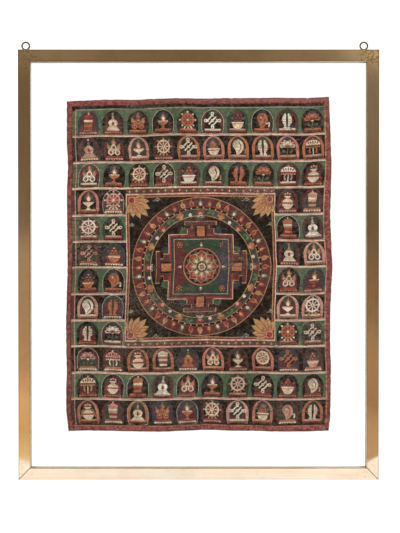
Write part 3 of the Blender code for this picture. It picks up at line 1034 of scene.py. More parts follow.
def draw_gate(brush):
    """One gate of the square, in the roundel's frame, on its upper side."""
    steps = [0.20 + 0.47j, 0.20 + 0.55j, 0.13 + 0.55j, 0.13 + 0.60j, 0.24 + 0.60j, 0.24 + 0.66j]
    brush.fill(both_sides(steps), "ochre", "black", 0.8)
    inner_steps = [0.93 * point.real + 1j * (0.025 + 0.95 * point.imag) for point in steps]
    brush.fill(both_sides(inner_steps), "maroon")
    brush.fill(both_sides([0.085 + 0.44j, 0.085 + 0.60j]), "black")
    brush.fill(both_sides([0.055 + 0.44j, 0.055 + 0.585j]), "orange")
    draw_lotus(brush.at(0.705j, 0.095), Tint("cream", "red", "ochre", "black"))


def draw_leaf_spray(brush, main, shade):
    """A fan of large leaves that grows up from the origin."""
    for lean in (-62, 62, -40, 40, -19, 19, 0):
        reach = 1 - abs(lean) / 160
        brush.fill(turned(petal(reach, 0.26, 0.62), lean), main, "black", 0.6)
        brush.fill(turned(petal(reach * 0.72, 0.07, 0.5), lean), shade)
    brush.fill(disc(0.13, 0, 12), "red", "cream", 0.6)


FLAMES = (("orange", "red"), ("ochre", "orange"), ("red", "ochre"), ("green", "cream"))
RING_PETALS = (("red", "pink"), ("slate", "cream"), ("orange", "ochre"), ("green", "deep_green"))
WALLS = (
    (0.485, "black"), (0.475, "cream"), (0.466, "red"), (0.436, "black"),
    (0.428, "slate"), (0.402, "ochre"), (0.390, "black"),
)


def draw_rings(brush):
    """The roundel's rings, from the outside in: flames, beads and petals on a dark ground."""
    brush.fill(disc(1.0, 0, 96), "maroon", "ochre", 1.2)
    for step in range(44):
        lean = 360 * step / 44
        draw_flame(brush.at(0.885 * np.exp(1j * radians(lean)), 0.115, lean - 90), *FLAMES[step % 4])
    for reach, pigment in ((0.885, "red"), (0.872, "black"), (0.840, "ochre"), (0.832, "deep_green")):
        brush.fill(disc(reach, 0, 96), pigment)
    for step in range(60):
        brush.fill(disc(0.010, 0.856 * np.exp(1j * radians(6 * step + 3)), 6), "cream")
    for step in range(32):
        lean = 360 * step / 32
        root = 0.735 * np.exp(1j * radians(lean + 90))
        outer, inner = RING_PETALS[step % 4]
        brush.fill(turned(petal(0.10, 0.125, 0.55), lean) + root, outer, "black", 0.6)
        brush.fill(turned(petal(0.06, 0.055, 0.55), lean) + root, inner)
    brush.fill(disc(0.745, 0, 96), "ochre")
    brush.fill(disc(0.735, 0, 96), "black")


def draw_walled_square(brush):
    """The square with its walls and four gates, and leaf sprays outside it."""
    sides = [brush.at(0, 1, 90 * quarter) for quarter in range(4)]
    for side in sides:
        for lean in (-31, 31):
            spray = side.at(0.44 * np.exp(1j * radians(90 + lean)) + 0.09j, 0.13, lean * 0.8)
            draw_leaf_spray(spray, "green" if lean > 0 else "slate", "deep_green")
    for half, pigment in WALLS:
        brush.fill(rectangle(-half, -half, half, half), pigment)
    for side, pigment in zip(sides, ("deep_green", "maroon", "deep_green", "slate")):
        side.fill(np.array([0, 0.382 + 0.382j, -0.382 + 0.382j]), pigment)
        draw_gate(side)
        draw_vase(side.at(0.322j, 0.052), Tint("cream", "red", "orange", "black"))
        draw_flower(side.at(0.315 + 0.315j, 0.048), Tint("orange", "red", "ochre", "black"), 6)


def draw_heart(brush):
    """The open lotus in the middle of the square."""
    for reach, pigment in ((0.280, "black"), (0.272, "ochre"), (0.262, "red"), (0.246, "black")):
        brush.fill(disc(reach, 0, 64), pigment)
    for step in range(8):
        brush.fill(turned(petal(0.235, 0.15, 0.8), 45 * step + 22.5), "green", "deep_green", 0.8)
    for step in range(8):
        lean = 45 * step
        brush.fill(turned(petal(0.235, 0.145, 0.8), lean), "red", "cream", 0.6)
        brush.fill(turned(petal(0.19, 0.085, 0.8), lean), "orange")
        brush.fill(turned(petal(0.15, 0.035, 0.8), lean), "cream")
    brush.fill(disc(0.088, 0, 32), "ochre")
    brush.fill(disc(0.078, 0, 32), "deep_green")
    draw_flower(brush, Tint("cream", "red", "ochre", "black"), 8, 0.060)


def draw_roundel(drawing, middle, radius):
    """A lotus in a walled square with four gates, inside rings of petals and flames."""
    brush = Brush(drawing, middle, radius)
    draw_rings(brush)
    draw_walled_square(brush)
    draw_heart(brush)


def draw_middle(drawing, left, low, right, high):
    """The large panel: the roundel on a dark ground, with a spray of leaves and clouds in each corner."""
    drawing.fill(rectangle(left, low, right, high), "cream")
    for margin, pigment in ((1.6, "red"), (5.0, "ochre"), (6.4, "black")):
        drawing.fill(rectangle(left + margin, low + margin, right - margin, high - margin), pigment)
    middle = (left + right) / 2 + 1j * (low + high) / 2
    across, up = (right - left) / 2, (high - low) / 2
    for quarter in range(4):
        side = (1 if quarter in (0, 3) else -1, 1 if quarter < 2 else -1)
        corner = middle + side[0] * (across - SPRAY_INSET) + 1j * side[1] * (up - SPRAY_INSET)
        beside = corner - side[0] * CLOUD_STEP + 1j * side[1]
        below = corner - 1j * side[1] * CLOUD_STEP + side[0]
        draw_leaf_spray(Brush(drawing, corner, SPRAY, 135 + 90 * quarter), "ochre", "orange")
        draw_cloud(Brush(drawing, beside, 8), "slate", "cream", "black")
        draw_cloud(Brush(drawing, below, 7), "green", "cream", "black")
    draw_roundel(drawing, middle, min(across, up) - ROUNDEL_ROOM)


def draw_rows(drawing, left, low, strip_left, right, pitch):
    """The rows' grounds, green and dark in turn, the strip beside them and the pale lines between them."""
    for row in range(ROWS):
        floor = low + pitch * row
        drawing.fill(rectangle(left, floor, right, floor + pitch), ("black", "green")[row % 2])
        strip = ("maroon", "olive", "black", "olive")[row % 4]
        drawing.fill(rectangle(strip_left, floor, left - THIN_LINE, floor + pitch), strip)
    for row in range(1, ROWS):
        line = low + pitch * row
        upper, lower = ("cream", "pink") if row % 3 == 0 else ("pink", "cream")
        drawing.fill(rectangle(strip_left, line - ROW_LINE / 2, right, line + ROW_LINE / 2), upper)
        drawing.fill(rectangle(strip_left, line - ROW_LINE / 2, right, line - ROW_LINE / 8), lower)


def draw_niches(drawing, left, low, pitch_across, pitch_up):
    """The niches of every row, but none where the middle panel lies."""
    luck = random.Random(11)
    size = (pitch_up - ROW_LINE) / 2
    for row in range(ROWS):
        middle_up = low + pitch_up * row + ROW_LINE / 2 + size
        inner_row = FULL_ROWS <= row < ROWS - FULL_ROWS
        for column in range(COLUMNS):
            if inner_row and SIDE_COLUMNS <= column < COLUMNS - SIDE_COLUMNS:
                continue
            middle = left + pitch_across * (column + 0.5) + 1j * middle_up
            niche = luck.choice(GREEN_NICHES if row % 2 else DARK_NICHES)
            sign = SIGNS[(column * 5 + row * 7) % len(SIGNS)]
            draw_niche(drawing, middle, size, niche, sign, luck)


def draw_right_edge(drawing, width, height):
    """The red on the right, over the ends of the rows, with a thin line along it."""
    heights = np.linspace(EDGE_LOW + CORAL_LINE, height - EDGE_TOP, 40)
    bowed = width - np.interp(heights / height, *zip(*EDGE_RIGHT)) + 1j * heights
    side = [width - RED_START + 1j * heights[-1], width - RED_START + 1j * heights[0]]
    drawing.fill(np.append(bowed, side), "border")
    drawing.fill(ribbon(bowed - THIN_LINE / 2, THIN_LINE), "pink")


def draw_painting(cloth):
    """The whole painting, from the red edge inwards."""
    width, height = cloth.width / MM, cloth.height / MM
    drawing = Drawing()
    left, low = EDGE_LEFT, EDGE_LOW
    right, high = width - ROW_END, height - EDGE_TOP
    drawing.fill(rectangle(left - 1, low, right, high + 1), "maroon")
    drawing.fill(rectangle(left, low, right, high), "coral")
    low = low + CORAL_LINE
    for margin, pigment in ((0, "black"), (STRIP, "mist"), (STRIP + THIN_LINE, "black")):
        drawing.fill(rectangle(left + margin, low, right, high - margin), pigment)
    strip_left = left + BLACK_LINE
    left, high = left + STRIP + THIN_LINE, high - STRIP - THIN_LINE

    column_end = width - COLUMN_END
    pitch_across = (column_end - left) / COLUMNS
    pitch_up = (high - low) / ROWS
    draw_rows(drawing, left, low, strip_left, right, pitch_up)
    draw_niches(drawing, left, low, pitch_across, pitch_up)

    panel_left = left + pitch_across * SIDE_COLUMNS
    panel_right = column_end - pitch_across * SIDE_COLUMNS
    panel_low = low + pitch_up * FULL_ROWS
    panel_high = high - pitch_up * FULL_ROWS
    inner_low, inner_high = panel_low + SCROLL_BAND, panel_high - SCROLL_BAND
    draw_scroll_band(drawing, panel_left, panel_low, panel_right, inner_low)
    draw_scroll_band(drawing, panel_left, inner_high, panel_right, panel_high)
    draw_middle(drawing, panel_left, inner_low, panel_right, inner_high)
    draw_right_edge(drawing, width, height)
    return drawing


# ---- meshes --------------------------------------------------------------------------------------

# How far the hand strays over long and short stretches: pairs of a stretch and a swing, in millimetres.
HAND_SHAKE = ((95.0, 1.3), (24.0, 0.5), (7.0, 0.22))
# Without a seed of its own, Blender's vector noise goes by the clock, and each run would differ.
HAND_SEED = 5
# In millimetres: the longest sides of a drawn outline and of the cut edge, and the pitch of the points that
# are added on the painted side and on the back.
LONGEST_STEP = 6.0
EDGE_STEP = 2.2
GROUND_STEP = 7.0
BACK_STEP = 8.0


def add_object(name, data):
    """An object in the scene that holds a mesh, a lamp or a camera."""
    added = bpy.data.objects.new(name, data)
    bpy.context.scene.collection.objects.link(added)
    return added


def add_mesh(name, vertices, faces, materials):
    """A new mesh with its materials, as an object in the scene."""
    mesh = bpy.data.meshes.new(name)
    mesh.from_pydata(vertices, [], faces)
    for material in materials:
        mesh.materials.append(material)
    return add_object(name, mesh)


def add_piece(name, vertices, faces, materials, smooth_shaded=True):
    """A mesh in the frame's own coordinates that rides on the frame."""
    piece = add_mesh(name, vertices, faces, materials)
    if smooth_shaded:
        piece.data.shade_smooth()
    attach(piece, "root")
    return piece


def add_to(vertices, faces, more_vertices, more_faces):
    """Puts one part of a mesh behind the others."""
    faces.extend([corner + len(vertices) for corner in face] for face in more_faces)
    vertices.extend(more_vertices)


def read_cloth():
    """The middle surface of the frame's cloth as a grid of points, in rows from the foot up."""
    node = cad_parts["painted_cloth"]
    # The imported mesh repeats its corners, so that each is read once.
    points = {tuple(round(side, 5) for side in vertex.co) for vertex in node.data.vertices}
    layers = []
    for facing in (-1, 1):
        side = sorted((p for p in points if p[1] * facing > 0), key=lambda point: point[2])
        if len(side) != (CLOTH_COLUMNS + 1) * (CLOTH_ROWS + 1):
            raise RuntimeError("the frame's cloth isn't the grid that this script expects")
        rows = [side[start:start + CLOTH_COLUMNS + 1] for start in range(0, len(side), CLOTH_COLUMNS + 1)]
        layers.append(np.array([sorted(row) for row in rows]))
    return (layers[0] + layers[1]) / 2


def lay_on(grid, across, up):
    """Points of a smooth surface through a grid, at shares of its width and height."""
    padded = np.pad(grid, ((1, 1), (1, 1), (0, 0)), mode="reflect", reflect_type="odd")

    def split(shares, count):
        cell = np.clip(np.floor(shares * count).astype(int), 0, count - 1)
        t = shares * count - cell
        weights = 0.5 * np.stack((
            -t + 2 * t**2 - t**3, 2 - 5 * t**2 + 3 * t**3, t + 4 * t**2 - 3 * t**3, -(t**2) + t**3,
        ))
        return cell, weights

    column, weight_across = split(across, CLOTH_COLUMNS)
    row, weight_up = split(up, CLOTH_ROWS)
    surface = np.zeros((len(across), 3))
    for i in range(4):
        for j in range(4):
            surface += (weight_up[i] * weight_across[j])[:, None] * padded[row + i, column + j]
    return surface


def by_hand(points):
    """Shifts drawn points as an unsteady hand does. Points that lie together stay together."""
    shifted = np.array(points)
    for index, point in enumerate(points):
        for reach, swing in HAND_SHAKE:
            shake = noise.noise_vector(Vector((point.real / reach, point.imag / reach, reach)))
            shifted[index] += swing * complex(shake.x, shake.y)
    return shifted


def with_short_steps(outline, longest):
    """An outline whose long straight stretches are cut into shorter ones."""
    points = []
    for start, end in zip(outline, np.roll(outline, -1)):
        count = max(1, int(np.ceil(abs(end - start) / longest)))
        points.extend(start + (end - start) * np.arange(count) / count)
    return np.array(points)


def cloth_outline(cloth):
    """The cut edge of the flat cloth, in millimetres, nibbled by wear."""
    corners = rectangle(0, 0, cloth.width / MM, cloth.height / MM)
    outline = with_short_steps(corners, EDGE_STEP)
    middle = np.mean(corners)
    for index, point in enumerate(outline):
        coarse = noise.noise(Vector((point.real / 9, point.imag / 9, 5.0)))
        fine = noise.noise(Vector((point.real / 2.4, point.imag / 2.4, 9.0)))
        depth = cloth.fray / MM * max(0.0, 0.45 + 0.8 * coarse + 0.8 * fine)
        inwards = middle - point
        on_side = min(point.real, corners[2].real - point.real) < 1
        on_end = min(point.imag, corners[2].imag - point.imag) < 1
        step = complex(np.sign(inwards.real) * on_side, np.sign(inwards.imag) * on_end)
        outline[index] = point + depth * step
    return outline


def scattered(low, high, step):
    """Points that fill a rectangle in staggered rows."""
    points = []
    for row, up in enumerate(np.arange(low.imag, high.imag, step * sqrt(3) / 2)):
        start = low.real + (step / 2 if row % 2 else 0)
        points.extend(across + 1j * up for across in np.arange(start, high.real, step))
    return np.array(points)


def cut(points, lines, extra):
    """Cuts the plane into triangles along lines, which are pairs of places in the list of points, with extra
    points between them. Returns the points, which start with the given ones, and the triangles."""
    flat = [Vector((point.real, point.imag)) for point in np.concatenate((points, extra))]
    found, _, triangles, *_ = delaunay_2d_cdt(flat, lines.tolist(), [], 0, 1e-4, False)
    return np.array([complex(point.x, point.y) for point in found]), np.array([list(t) for t in triangles])


def joined(outlines):
    """The points of several outlines in one list, and their lines."""
    lines = []
    start = 0
    for outline in outlines:
        places = start + np.arange(len(outline))
        lines.append(np.stack((places, np.roll(places, -1)), 1))
        start += len(outline)
    return np.concatenate(outlines), np.concatenate(lines)


def is_inside(outline, points):
    """Which points an outline goes round, even where it crosses itself."""
    turns = np.zeros(len(points), int)
    for start, end in zip(outline, np.roll(outline, -1)):
        rising = (start.imag <= points.imag) & (points.imag < end.imag)
        falling = (end.imag <= points.imag) & (points.imag < start.imag)
        way, towards = end - start, points - start
        to_left = way.real * towards.imag - way.imag * towards.real > 0
        turns += (rising & to_left).astype(int) - (falling & ~to_left).astype(int)
    return turns != 0


def topmost(outlines, points):
    """For each point, the place in the list of the last outline round it, or -1 where there is none."""
    order = np.argsort(points.imag)
    heights = points.imag[order]
    cover = np.full(len(points), -1)
    for index in range(len(outlines) - 1, -1, -1):
        outline = outlines[index]
        first, last = np.searchsorted(heights, (outline.imag.min(), outline.imag.max()))
        near = order[first:last]
        between = (points[near].real > outline.real.min()) & (points[near].real < outline.real.max())
        near = near[between & (cover[near] < 0)]
        cover[near[is_inside(outline, points[near])]] = index
    return cover


def seen_lines(points, triangles, pigments):
    """The points and lines between triangles of unlike pigments. The others are hidden under later paint."""
    lines = np.concatenate([triangles[:, pair] for pair in ([0, 1], [1, 2], [2, 0])])
    lines = np.sort(lines, axis=1)
    sides = np.tile(pigments, 3)
    order = np.lexsort((lines[:, 1], lines[:, 0]))
    lines, sides = lines[order], sides[order]
    paired = np.all(lines[1:] == lines[:-1], axis=1)
    seen = lines[:-1][paired & (sides[1:] != sides[:-1])]
    used, places = np.unique(seen, return_inverse=True)
    return points[used], places.reshape(seen.shape)


def paint_layer(outline, shapes, step):
    """Cuts the cloth, whose outline has the border's pigment, into triangles along the seen edges of shapes.
    Returns the points, which start with the outline's, the triangles, and each triangle's pigment."""
    outlines = [outline] + [points for points, _ in shapes]
    pigments = ["border"] + [pigment for _, pigment in shapes]
    names = sorted(set(pigments))
    numbers = np.array([names.index(pigment) for pigment in pigments] + [-1])

    def with_pigments(points, lines, extra):
        points, triangles = cut(points, lines, extra)
        return points, triangles, numbers[topmost(outlines, points[triangles].mean(axis=1))]

    edge_points, edge_lines = joined([outline])
    seen_points, lines = seen_lines(*with_pigments(*joined(outlines), []))
    corners = sorted(outline, key=lambda point: point.real + point.imag)
    margin = step * (0.5 + 0.5j)
    ground = scattered(corners[0] + margin, corners[-1] - margin, step)
    all_points = np.concatenate((edge_points, seen_points))
    all_lines = np.concatenate((edge_lines, lines + len(outline)))
    points, triangles, pigments = with_pigments(all_points, all_lines, ground)
    kept = pigments >= 0
    return points, facing_up(points, triangles[kept]), [names[number] for number in pigments[kept]]


def facing_up(points, triangles):
    """The triangles, each listed anticlockwise."""
    corners = points[triangles]
    one, two = corners[:, 1] - corners[:, 0], corners[:, 2] - corners[:, 0]
    clockwise = one.real * two.imag - one.imag * two.real < 0
    triangles[clockwise] = triangles[clockwise][:, ::-1]
    return triangles


def place_layer(cloth, grid, flat, facing):
    """Lays flat points on one side of the cloth: facing is -1 for the painted side and 1 for the back."""
    surface = lay_on(grid, flat.real * MM / cloth.width, flat.imag * MM / cloth.height)
    ripple = [noise.noise(Vector((p.real / 34, p.imag / 15, 2.0))) for p in flat]
    surface[:, 1] += cloth.ripple * np.array(ripple) + facing * cloth.thickness / 2
    return surface


def build_sheet(cloth, pigments):
    """The painted cloth as one closed sheet: a front cut along the drawing, a back and a thin edge."""
    grid = read_cloth()
    outline = cloth_outline(cloth)
    shapes = draw_painting(cloth).shapes
    noise.seed_set(HAND_SEED)
    drawn = [(by_hand(with_short_steps(points, LONGEST_STEP)), pigment) for points, pigment in shapes]
    front, front_faces, front_pigments = paint_layer(outline, drawn, GROUND_STEP)
    back, back_faces, _ = paint_layer(outline, [], BACK_STEP)

    places = np.arange(len(outline))
    following = np.roll(places, -1)
    rim = np.stack((places, places + len(front), following + len(front), following), 1)
    vertices = np.concatenate((place_layer(cloth, grid, front, -1), place_layer(cloth, grid, back, 1)))
    faces = front_faces.tolist() + (back_faces[:, ::-1] + len(front)).tolist() + rim.tolist()
    finishes = [painted_finish(cloth, pigments), bare_cotton_finish(cloth)]
    piece = add_piece("painted_sheet", vertices.tolist(), faces, finishes)

    mesh = piece.data
    unpainted = np.arange(len(faces)) >= len(front_faces)
    mesh.polygons.foreach_set("material_index", unpainted.astype(int))
    colours = np.ones((len(mesh.loops), 4))
    painted = [tuple(getattr(pigments, name)) for name in front_pigments]
    colours[:3 * len(painted), :3] = np.repeat(painted, 3, axis=0)
    mesh.color_attributes.new("pigment", "FLOAT_COLOR", "CORNER").data.foreach_set("color", colours.ravel())

    flat = np.concatenate((front, back))
    to_side = np.minimum(flat.real, cloth.width / MM - flat.real)
    to_end = np.minimum(flat.imag, cloth.height / MM - flat.imag)
    from_edge = np.maximum(np.minimum(to_side, to_end), 0).astype(np.float32)
    mesh.attributes.new("from_edge", "FLOAT", "POINT").data.foreach_set("value", from_edge)
    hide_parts("painted_cloth")
    return piece


def tube(points, radius_at, sides, closed=False):
    """Vertices and faces of a round rod along points that lie in the plane of the frame: a ring if closed,
    and otherwise a rod with two ends. The radius depends on how far along it is, from 0 to 1."""
    count = len(points)
    vertices, faces = [], []
    for index, point in enumerate(points):
        before = points[index - 1] if closed or index else point
        after = points[(index + 1) % count] if closed or index < count - 1 else point
        way = (after - before).normalized()
        aside = way.cross(Vector((0, 1, 0))).normalized()
        over = way.cross(aside)
        radius = radius_at(index / (count - 1))
        for side in range(sides):
            turn = 2 * pi * side / sides
            vertices.append(point + (aside * cos(turn) + over * sin(turn)) * radius)
    for index in range(count if closed else count - 1):
        near, far = index * sides, (index + 1) % count * sides
        for side in range(sides):
            following = (side + 1) % sides
            faces.append([near + side, near + following, far + following, far + side])
    if not closed:
        faces.append(list(range(sides))[::-1])
        faces.append(list(range(len(vertices) - sides, len(vertices))))
    return vertices, faces


THREAD_RADIUS = 0.16 * MM
THREAD_SIDES = 5
THREAD_STEPS = 6
# How far inside the cut edge a loose thread starts, in millimetres.
THREAD_ROOT = 0.7


def build_threads(cloth):
    """Short thread ends that have worked loose along the cut edge and lie flat between the panes."""
    grid = read_cloth()
    outline = cloth_outline(cloth)
    luck = random.Random(23)
    vertices, faces = [], []
    for _ in range(cloth.threads):
        index = luck.randrange(len(outline))
        root = outline[index]
        way = outline[(index + 1) % len(outline)] - outline[index - 1]
        outwards = -1j * way / abs(way)
        reach = luck.uniform(0.8, 3.4)
        lean = luck.uniform(-70, 70)
        curl = luck.uniform(-60, 60)
        stride = (reach + THREAD_ROOT) / THREAD_STEPS
        line = [root - outwards * THREAD_ROOT]
        for step in range(THREAD_STEPS):
            line.append(line[-1] + turned(outwards, lean + curl * step / THREAD_STEPS) * stride)
        middle = [Vector(point) for point in place_layer(cloth, grid, np.array(line), 0)]
        add_to(vertices, faces, *tube(middle, lambda along: THREAD_RADIUS * (1 - 0.5 * along), THREAD_SIDES))
    return add_piece("edge_threads", vertices, faces, [thread_finish()])


WIRE_SIDES = 20
RING_STEPS = 72


def build_eye(name, node, material):
    """An eye of bent wire: a ring, and a shank with a narrowed end that goes down into the rail."""
    low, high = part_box(node)
    wire = (high.y - low.y) / 2
    reach = (high.x - low.x) / 2 - wire
    middle = Vector(((low.x + high.x) / 2, 0, high.z - reach - wire))
    turns = [2 * pi * step / RING_STEPS for step in range(RING_STEPS)]
    ring = [middle + Vector((sin(turn), 0, cos(turn))) * reach for turn in turns]
    vertices, faces = tube(ring, lambda _: wire, WIRE_SIDES, closed=True)
    foot = middle.z - reach
    heights = (foot - 0.1 * wire, foot - 1.5 * wire, low.z + 0.3 * wire, low.z)
    shank = [Vector((middle.x, 0, height)) for height in heights]
    add_to(vertices, faces, *tube(shank, lambda along: wire * (0.98 if along < 1 else 0.70), WIRE_SIDES))
    piece = add_piece(name, vertices, faces, [material])
    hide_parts(node)
    return piece


# How far the solder lies below the channel's faces, and half its thickness.
SEAM_RECESS = 0.25 * MM
SEAM_HALF = 0.13 * MM


def build_seams(material):
    """The solder that fills the four mitres: a thin web of the channel's own section in each."""
    outside, inside = SEAM_RECESS, RAIL_WALL - SEAM_RECESS
    lip = RAIL_FACE - SEAM_RECESS
    outer = -FRAME_FRONT - SEAM_RECESS
    inner = -FRAME_FRONT - RAIL_WALL + SEAM_RECESS
    section = [
        (outside, -outer), (lip, -outer), (lip, -inner), (inside, -inner),
        (inside, inner), (lip, inner), (lip, outer), (outside, outer),
    ]
    vertices, faces = [], []
    count = len(section)
    for side, corner_x in ((-1, FRAME_LEFT), (1, FRAME_RIGHT)):
        for up, corner_z in ((-1, FRAME_FOOT), (1, FRAME_TOP)):
            start = len(vertices)
            normal = Vector((side, 0, -up)) / sqrt(2)
            for shift in (-SEAM_HALF, SEAM_HALF):
                for inwards, depth in section:
                    point = Vector((corner_x - side * inwards, depth, corner_z - up * inwards))
                    vertices.append(point + normal * shift)
            flip = side * up > 0
            # The section is three plain quads: two lips, and the wall between them.
            near = [[start + i for i in quad] for quad in ((0, 1, 2, 3), (0, 3, 4, 7), (4, 5, 6, 7))]
            web = near + [[corner + count for corner in quad[::-1]] for quad in near]
            for i in range(count):
                one, following = start + i, start + (i + 1) % count
                web.append([one, one + count, following + count, following])
            faces.extend(face[::-1] if flip else face for face in web)
    return add_piece("mitre_solder", vertices, faces, [material], smooth_shaded=False)


# ---- studio --------------------------------------------------------------------------------------

PICTURE_HEIGHT = 533
SENSOR = 36.0
# Where the lens points, in pixels from the middle of the frame, and how far it looks down, in degrees.
AIM_RIGHT_PIXELS = 1.43
AIM_DOWN_PIXELS = 1.5
LOOK_DOWN = 0.56


def set_camera(studio):
    """The photo's view: nearly level, and straight in front of the frame's middle."""
    camera = add_object("camera", bpy.data.cameras.new("camera"))
    aim_up = FRAME_MIDDLE - AIM_DOWN_PIXELS * studio.pixel
    aim = Vector((AIM_RIGHT_PIXELS * studio.pixel, FRAME_FRONT, aim_up))
    back = Vector((0, -cos(radians(LOOK_DOWN)), sin(radians(LOOK_DOWN))))
    camera.location = aim + back * studio.distance
    camera.rotation_euler = (radians(90 - LOOK_DOWN), 0, 0)
    camera.data.sensor_width = SENSOR
    camera.data.lens = SENSOR * studio.distance / (PICTURE_HEIGHT * studio.pixel)
    bpy.context.scene.camera = camera


# Tones of the room that the brass mirrors, from straight down (0) by eye level (0.5) to straight up (1).
ROOM_BELOW = [(0.000, (0.90, 0.88, 0.86)), (0.380, (0.75, 0.60, 0.43))]
LEFT_ROOM = [
    (0.408, (0.91, 0.69, 0.36)), (0.413, (0.83, 0.63, 0.34)), (0.420, (0.715, 0.48, 0.25)),
    (0.436, (0.755, 0.52, 0.28)), (0.446, (0.56, 0.375, 0.213)), (0.461, (0.46, 0.31, 0.195)),
    (0.475, (0.41, 0.30, 0.19)), (0.489, (0.42, 0.32, 0.215)), (0.506, (0.37, 0.29, 0.21)),
    (0.514, (0.22, 0.175, 0.125)), (0.545, (0.18, 0.140, 0.100)), (0.575, (0.165, 0.128, 0.090)),
    (0.5855, (0.195, 0.156, 0.108)), (0.588, (0.278, 0.229, 0.165)),
]
RIGHT_ROOM = [
    (0.410, (0.57, 0.40, 0.24)), (0.422, (0.53, 0.375, 0.21)), (0.431, (0.39, 0.25, 0.145)),
    (0.447, (0.41, 0.28, 0.17)), (0.463, (0.37, 0.26, 0.155)), (0.474, (0.298, 0.207, 0.123)),
    (0.489, (0.25, 0.175, 0.122)), (0.517, (0.166, 0.130, 0.085)), (0.531, (0.180, 0.142, 0.095)),
    (0.546, (0.207, 0.160, 0.117)), (0.559, (0.231, 0.181, 0.140)), (0.573, (0.237, 0.202, 0.158)),
    (0.5855, (0.230, 0.201, 0.156)), (0.588, (0.278, 0.229, 0.165)),
]
ROOM_ABOVE = [(0.710, (0.30, 0.26, 0.21)), (0.820, (0.95, 0.93, 0.90)), (1.000, (1.00, 0.98, 0.95))]
# The direction of a far window, behind the camera on the right.
WINDOW = Vector((0.185, -0.96, 0.235)).normalized()


def set_world(studio):
    """What the brass mirrors: a warm, dim room with a bright ceiling, and the white ground behind the frame.
    A dark card round the lens keeps the room's reflection off the panes in front of the painting."""
    world = bpy.data.worlds.new("studio room")
    world.use_nodes = True
    bpy.context.scene.world = world
    shader = Shader(world.node_tree)
    background = world.node_tree.nodes["Background"]
    direction = shader.node("TexCoord", None, None, "Generated")
    across, deep, up = shader.sides(direction)
    left, right = (
        shader.node("ValToRGB", {"stops": ROOM_BELOW + side + ROOM_ABOVE}, {"Fac": up * 0.5 + 0.5})
        for side in (LEFT_ROOM, RIGHT_ROOM)
    )
    ends = {"Vector": direction, "Vector_001": WINDOW}
    window = shader.node("VectorMath", {"operation": "DISTANCE"}, ends, 1)
    aside = abs(across).rise(0.134, 0.152).most(abs(up).rise(0.166, 0.178))
    lit = (window.rise(0.085, 0.03) * 1.8 + 1) * aside.fit(0.04, 1.0)
    room = shader.dim(shader.mix(across.rise(-0.12, 0.12), left, right), lit)
    shader.feed(background, "Color", shader.mix(deep.rise(-0.05, 0.10), room, studio.background))
    white = shader.node("Background", None, {"Color": studio.background})
    seen = shader.node("LightPath", None, None, "Is Camera Ray")
    dim = Signal(shader, background.outputs[0])
    both = shader.node("MixShader", None, {"Fac": seen, "Shader": dim, "Shader_001": white})
    shader.feed(world.node_tree.nodes["World Output"], "Surface", both)


# The floor ends just behind the frame and reaches past the camera on both sides of it. Its front is cut back
# between them, so that the mirrored edge between pale floor and dark room crosses the rails where it should.
FLOOR_OUTLINE = [
    (-3.2, 0.62), (3.2, 0.62), (3.2, -3.6), (1.65, -3.6),
    (0.555, -1.555), (-0.52, -1.52), (-1.7, -2.80), (-3.2, -2.80),
]


def set_floor(studio):
    """The pale floor that the frame hangs over."""
    level = FRAME_FOOT - studio.floor_drop
    corners = [(across, deep, level) for across, deep in FLOOR_OUTLINE]
    face = list(range(len(corners)))[::-1]
    add_mesh("floor", corners, [face], [floor_finish(studio)])


Lamp = namedtuple("Lamp", "name across deep up wide tall power")

LAMPS = [
    Lamp("left soft lamp", -1.75, -1.75, 0.25, 0.9, 1.3, 0.97),
    Lamp("right soft lamp", 1.75, -1.75, 0.25, 0.9, 1.3, 1.02),
    Lamp("back soft lamp", 0.9, 2.2, 0.5, 1.4, 1.0, 0.8),
]


def set_lamps(studio):
    """Large soft lamps that the brass doesn't mirror."""
    for lamp in LAMPS:
        light = bpy.data.lights.new(lamp.name, "AREA")
        light.shape = "RECTANGLE"
        light.size = lamp.wide
        light.size_y = lamp.tall
        light.energy = studio.lamp_power * lamp.power
        holder = add_object(lamp.name, light)
        holder.location = (lamp.across, lamp.deep, lamp.up)
        towards = Vector((0, 0, FRAME_MIDDLE)) - holder.location
        holder.rotation_euler = towards.to_track_quat("-Z", "Z").to_euler()
        holder.visible_glossy = False


# ---- operators -----------------------------------------------------------------------------------


class OBJECT_OT_painted_sheet(bpy.types.Operator):
    """Build the painted cloth, in place of the frame's plain one"""

    bl_idname = "object.painted_sheet"
    bl_label = "Painted sheet"

    def execute(self, context):
        scene = context.scene
        sheet = build_sheet(scene.cloth, scene.pigments)
        threads = build_threads(scene.cloth)
        return {"FINISHED"}


class OBJECT_OT_brass_rails(bpy.types.Operator):
    """Finish the four rails as polished brass and fill their mitres with solder"""

    bl_idname = "object.brass_rails"
    bl_label = "Brass rails"

    def execute(self, context):
        brass = context.scene.brass
        finishes = {
            # The top rail's middle is painted darker than its ends, as a painted darker reflection.
            "rail_top": brass_finish(
                "polished brass, level grain, worn bright at its ends", brass, False, painted_dark_middle=0.75,
            ),
            "rail_bottom": brass_finish("polished brass, level grain", brass, False),
            "rail_left": brass_finish("polished brass, upright grain", brass, True),
            "rail_right": brass_finish("bright polished brass, upright grain", brass, True, roughness=0.5),
        }
        for node, finish in finishes.items():
            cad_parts[node].material_slots[0].material = finish
        build_seams(solder_finish(brass))
        return {"FINISHED"}


class OBJECT_OT_hanging_eyes(bpy.types.Operator):
    """Build the two wire eyes that the frame hangs from"""

    bl_idname = "object.hanging_eyes"
    bl_label = "Hanging eyes"

    def execute(self, context):
        wire = wire_finish(context.scene.brass)
        for side in ("left", "right"):
            build_eye("eye_" + side, "ring_" + side, wire)
        return {"FINISHED"}


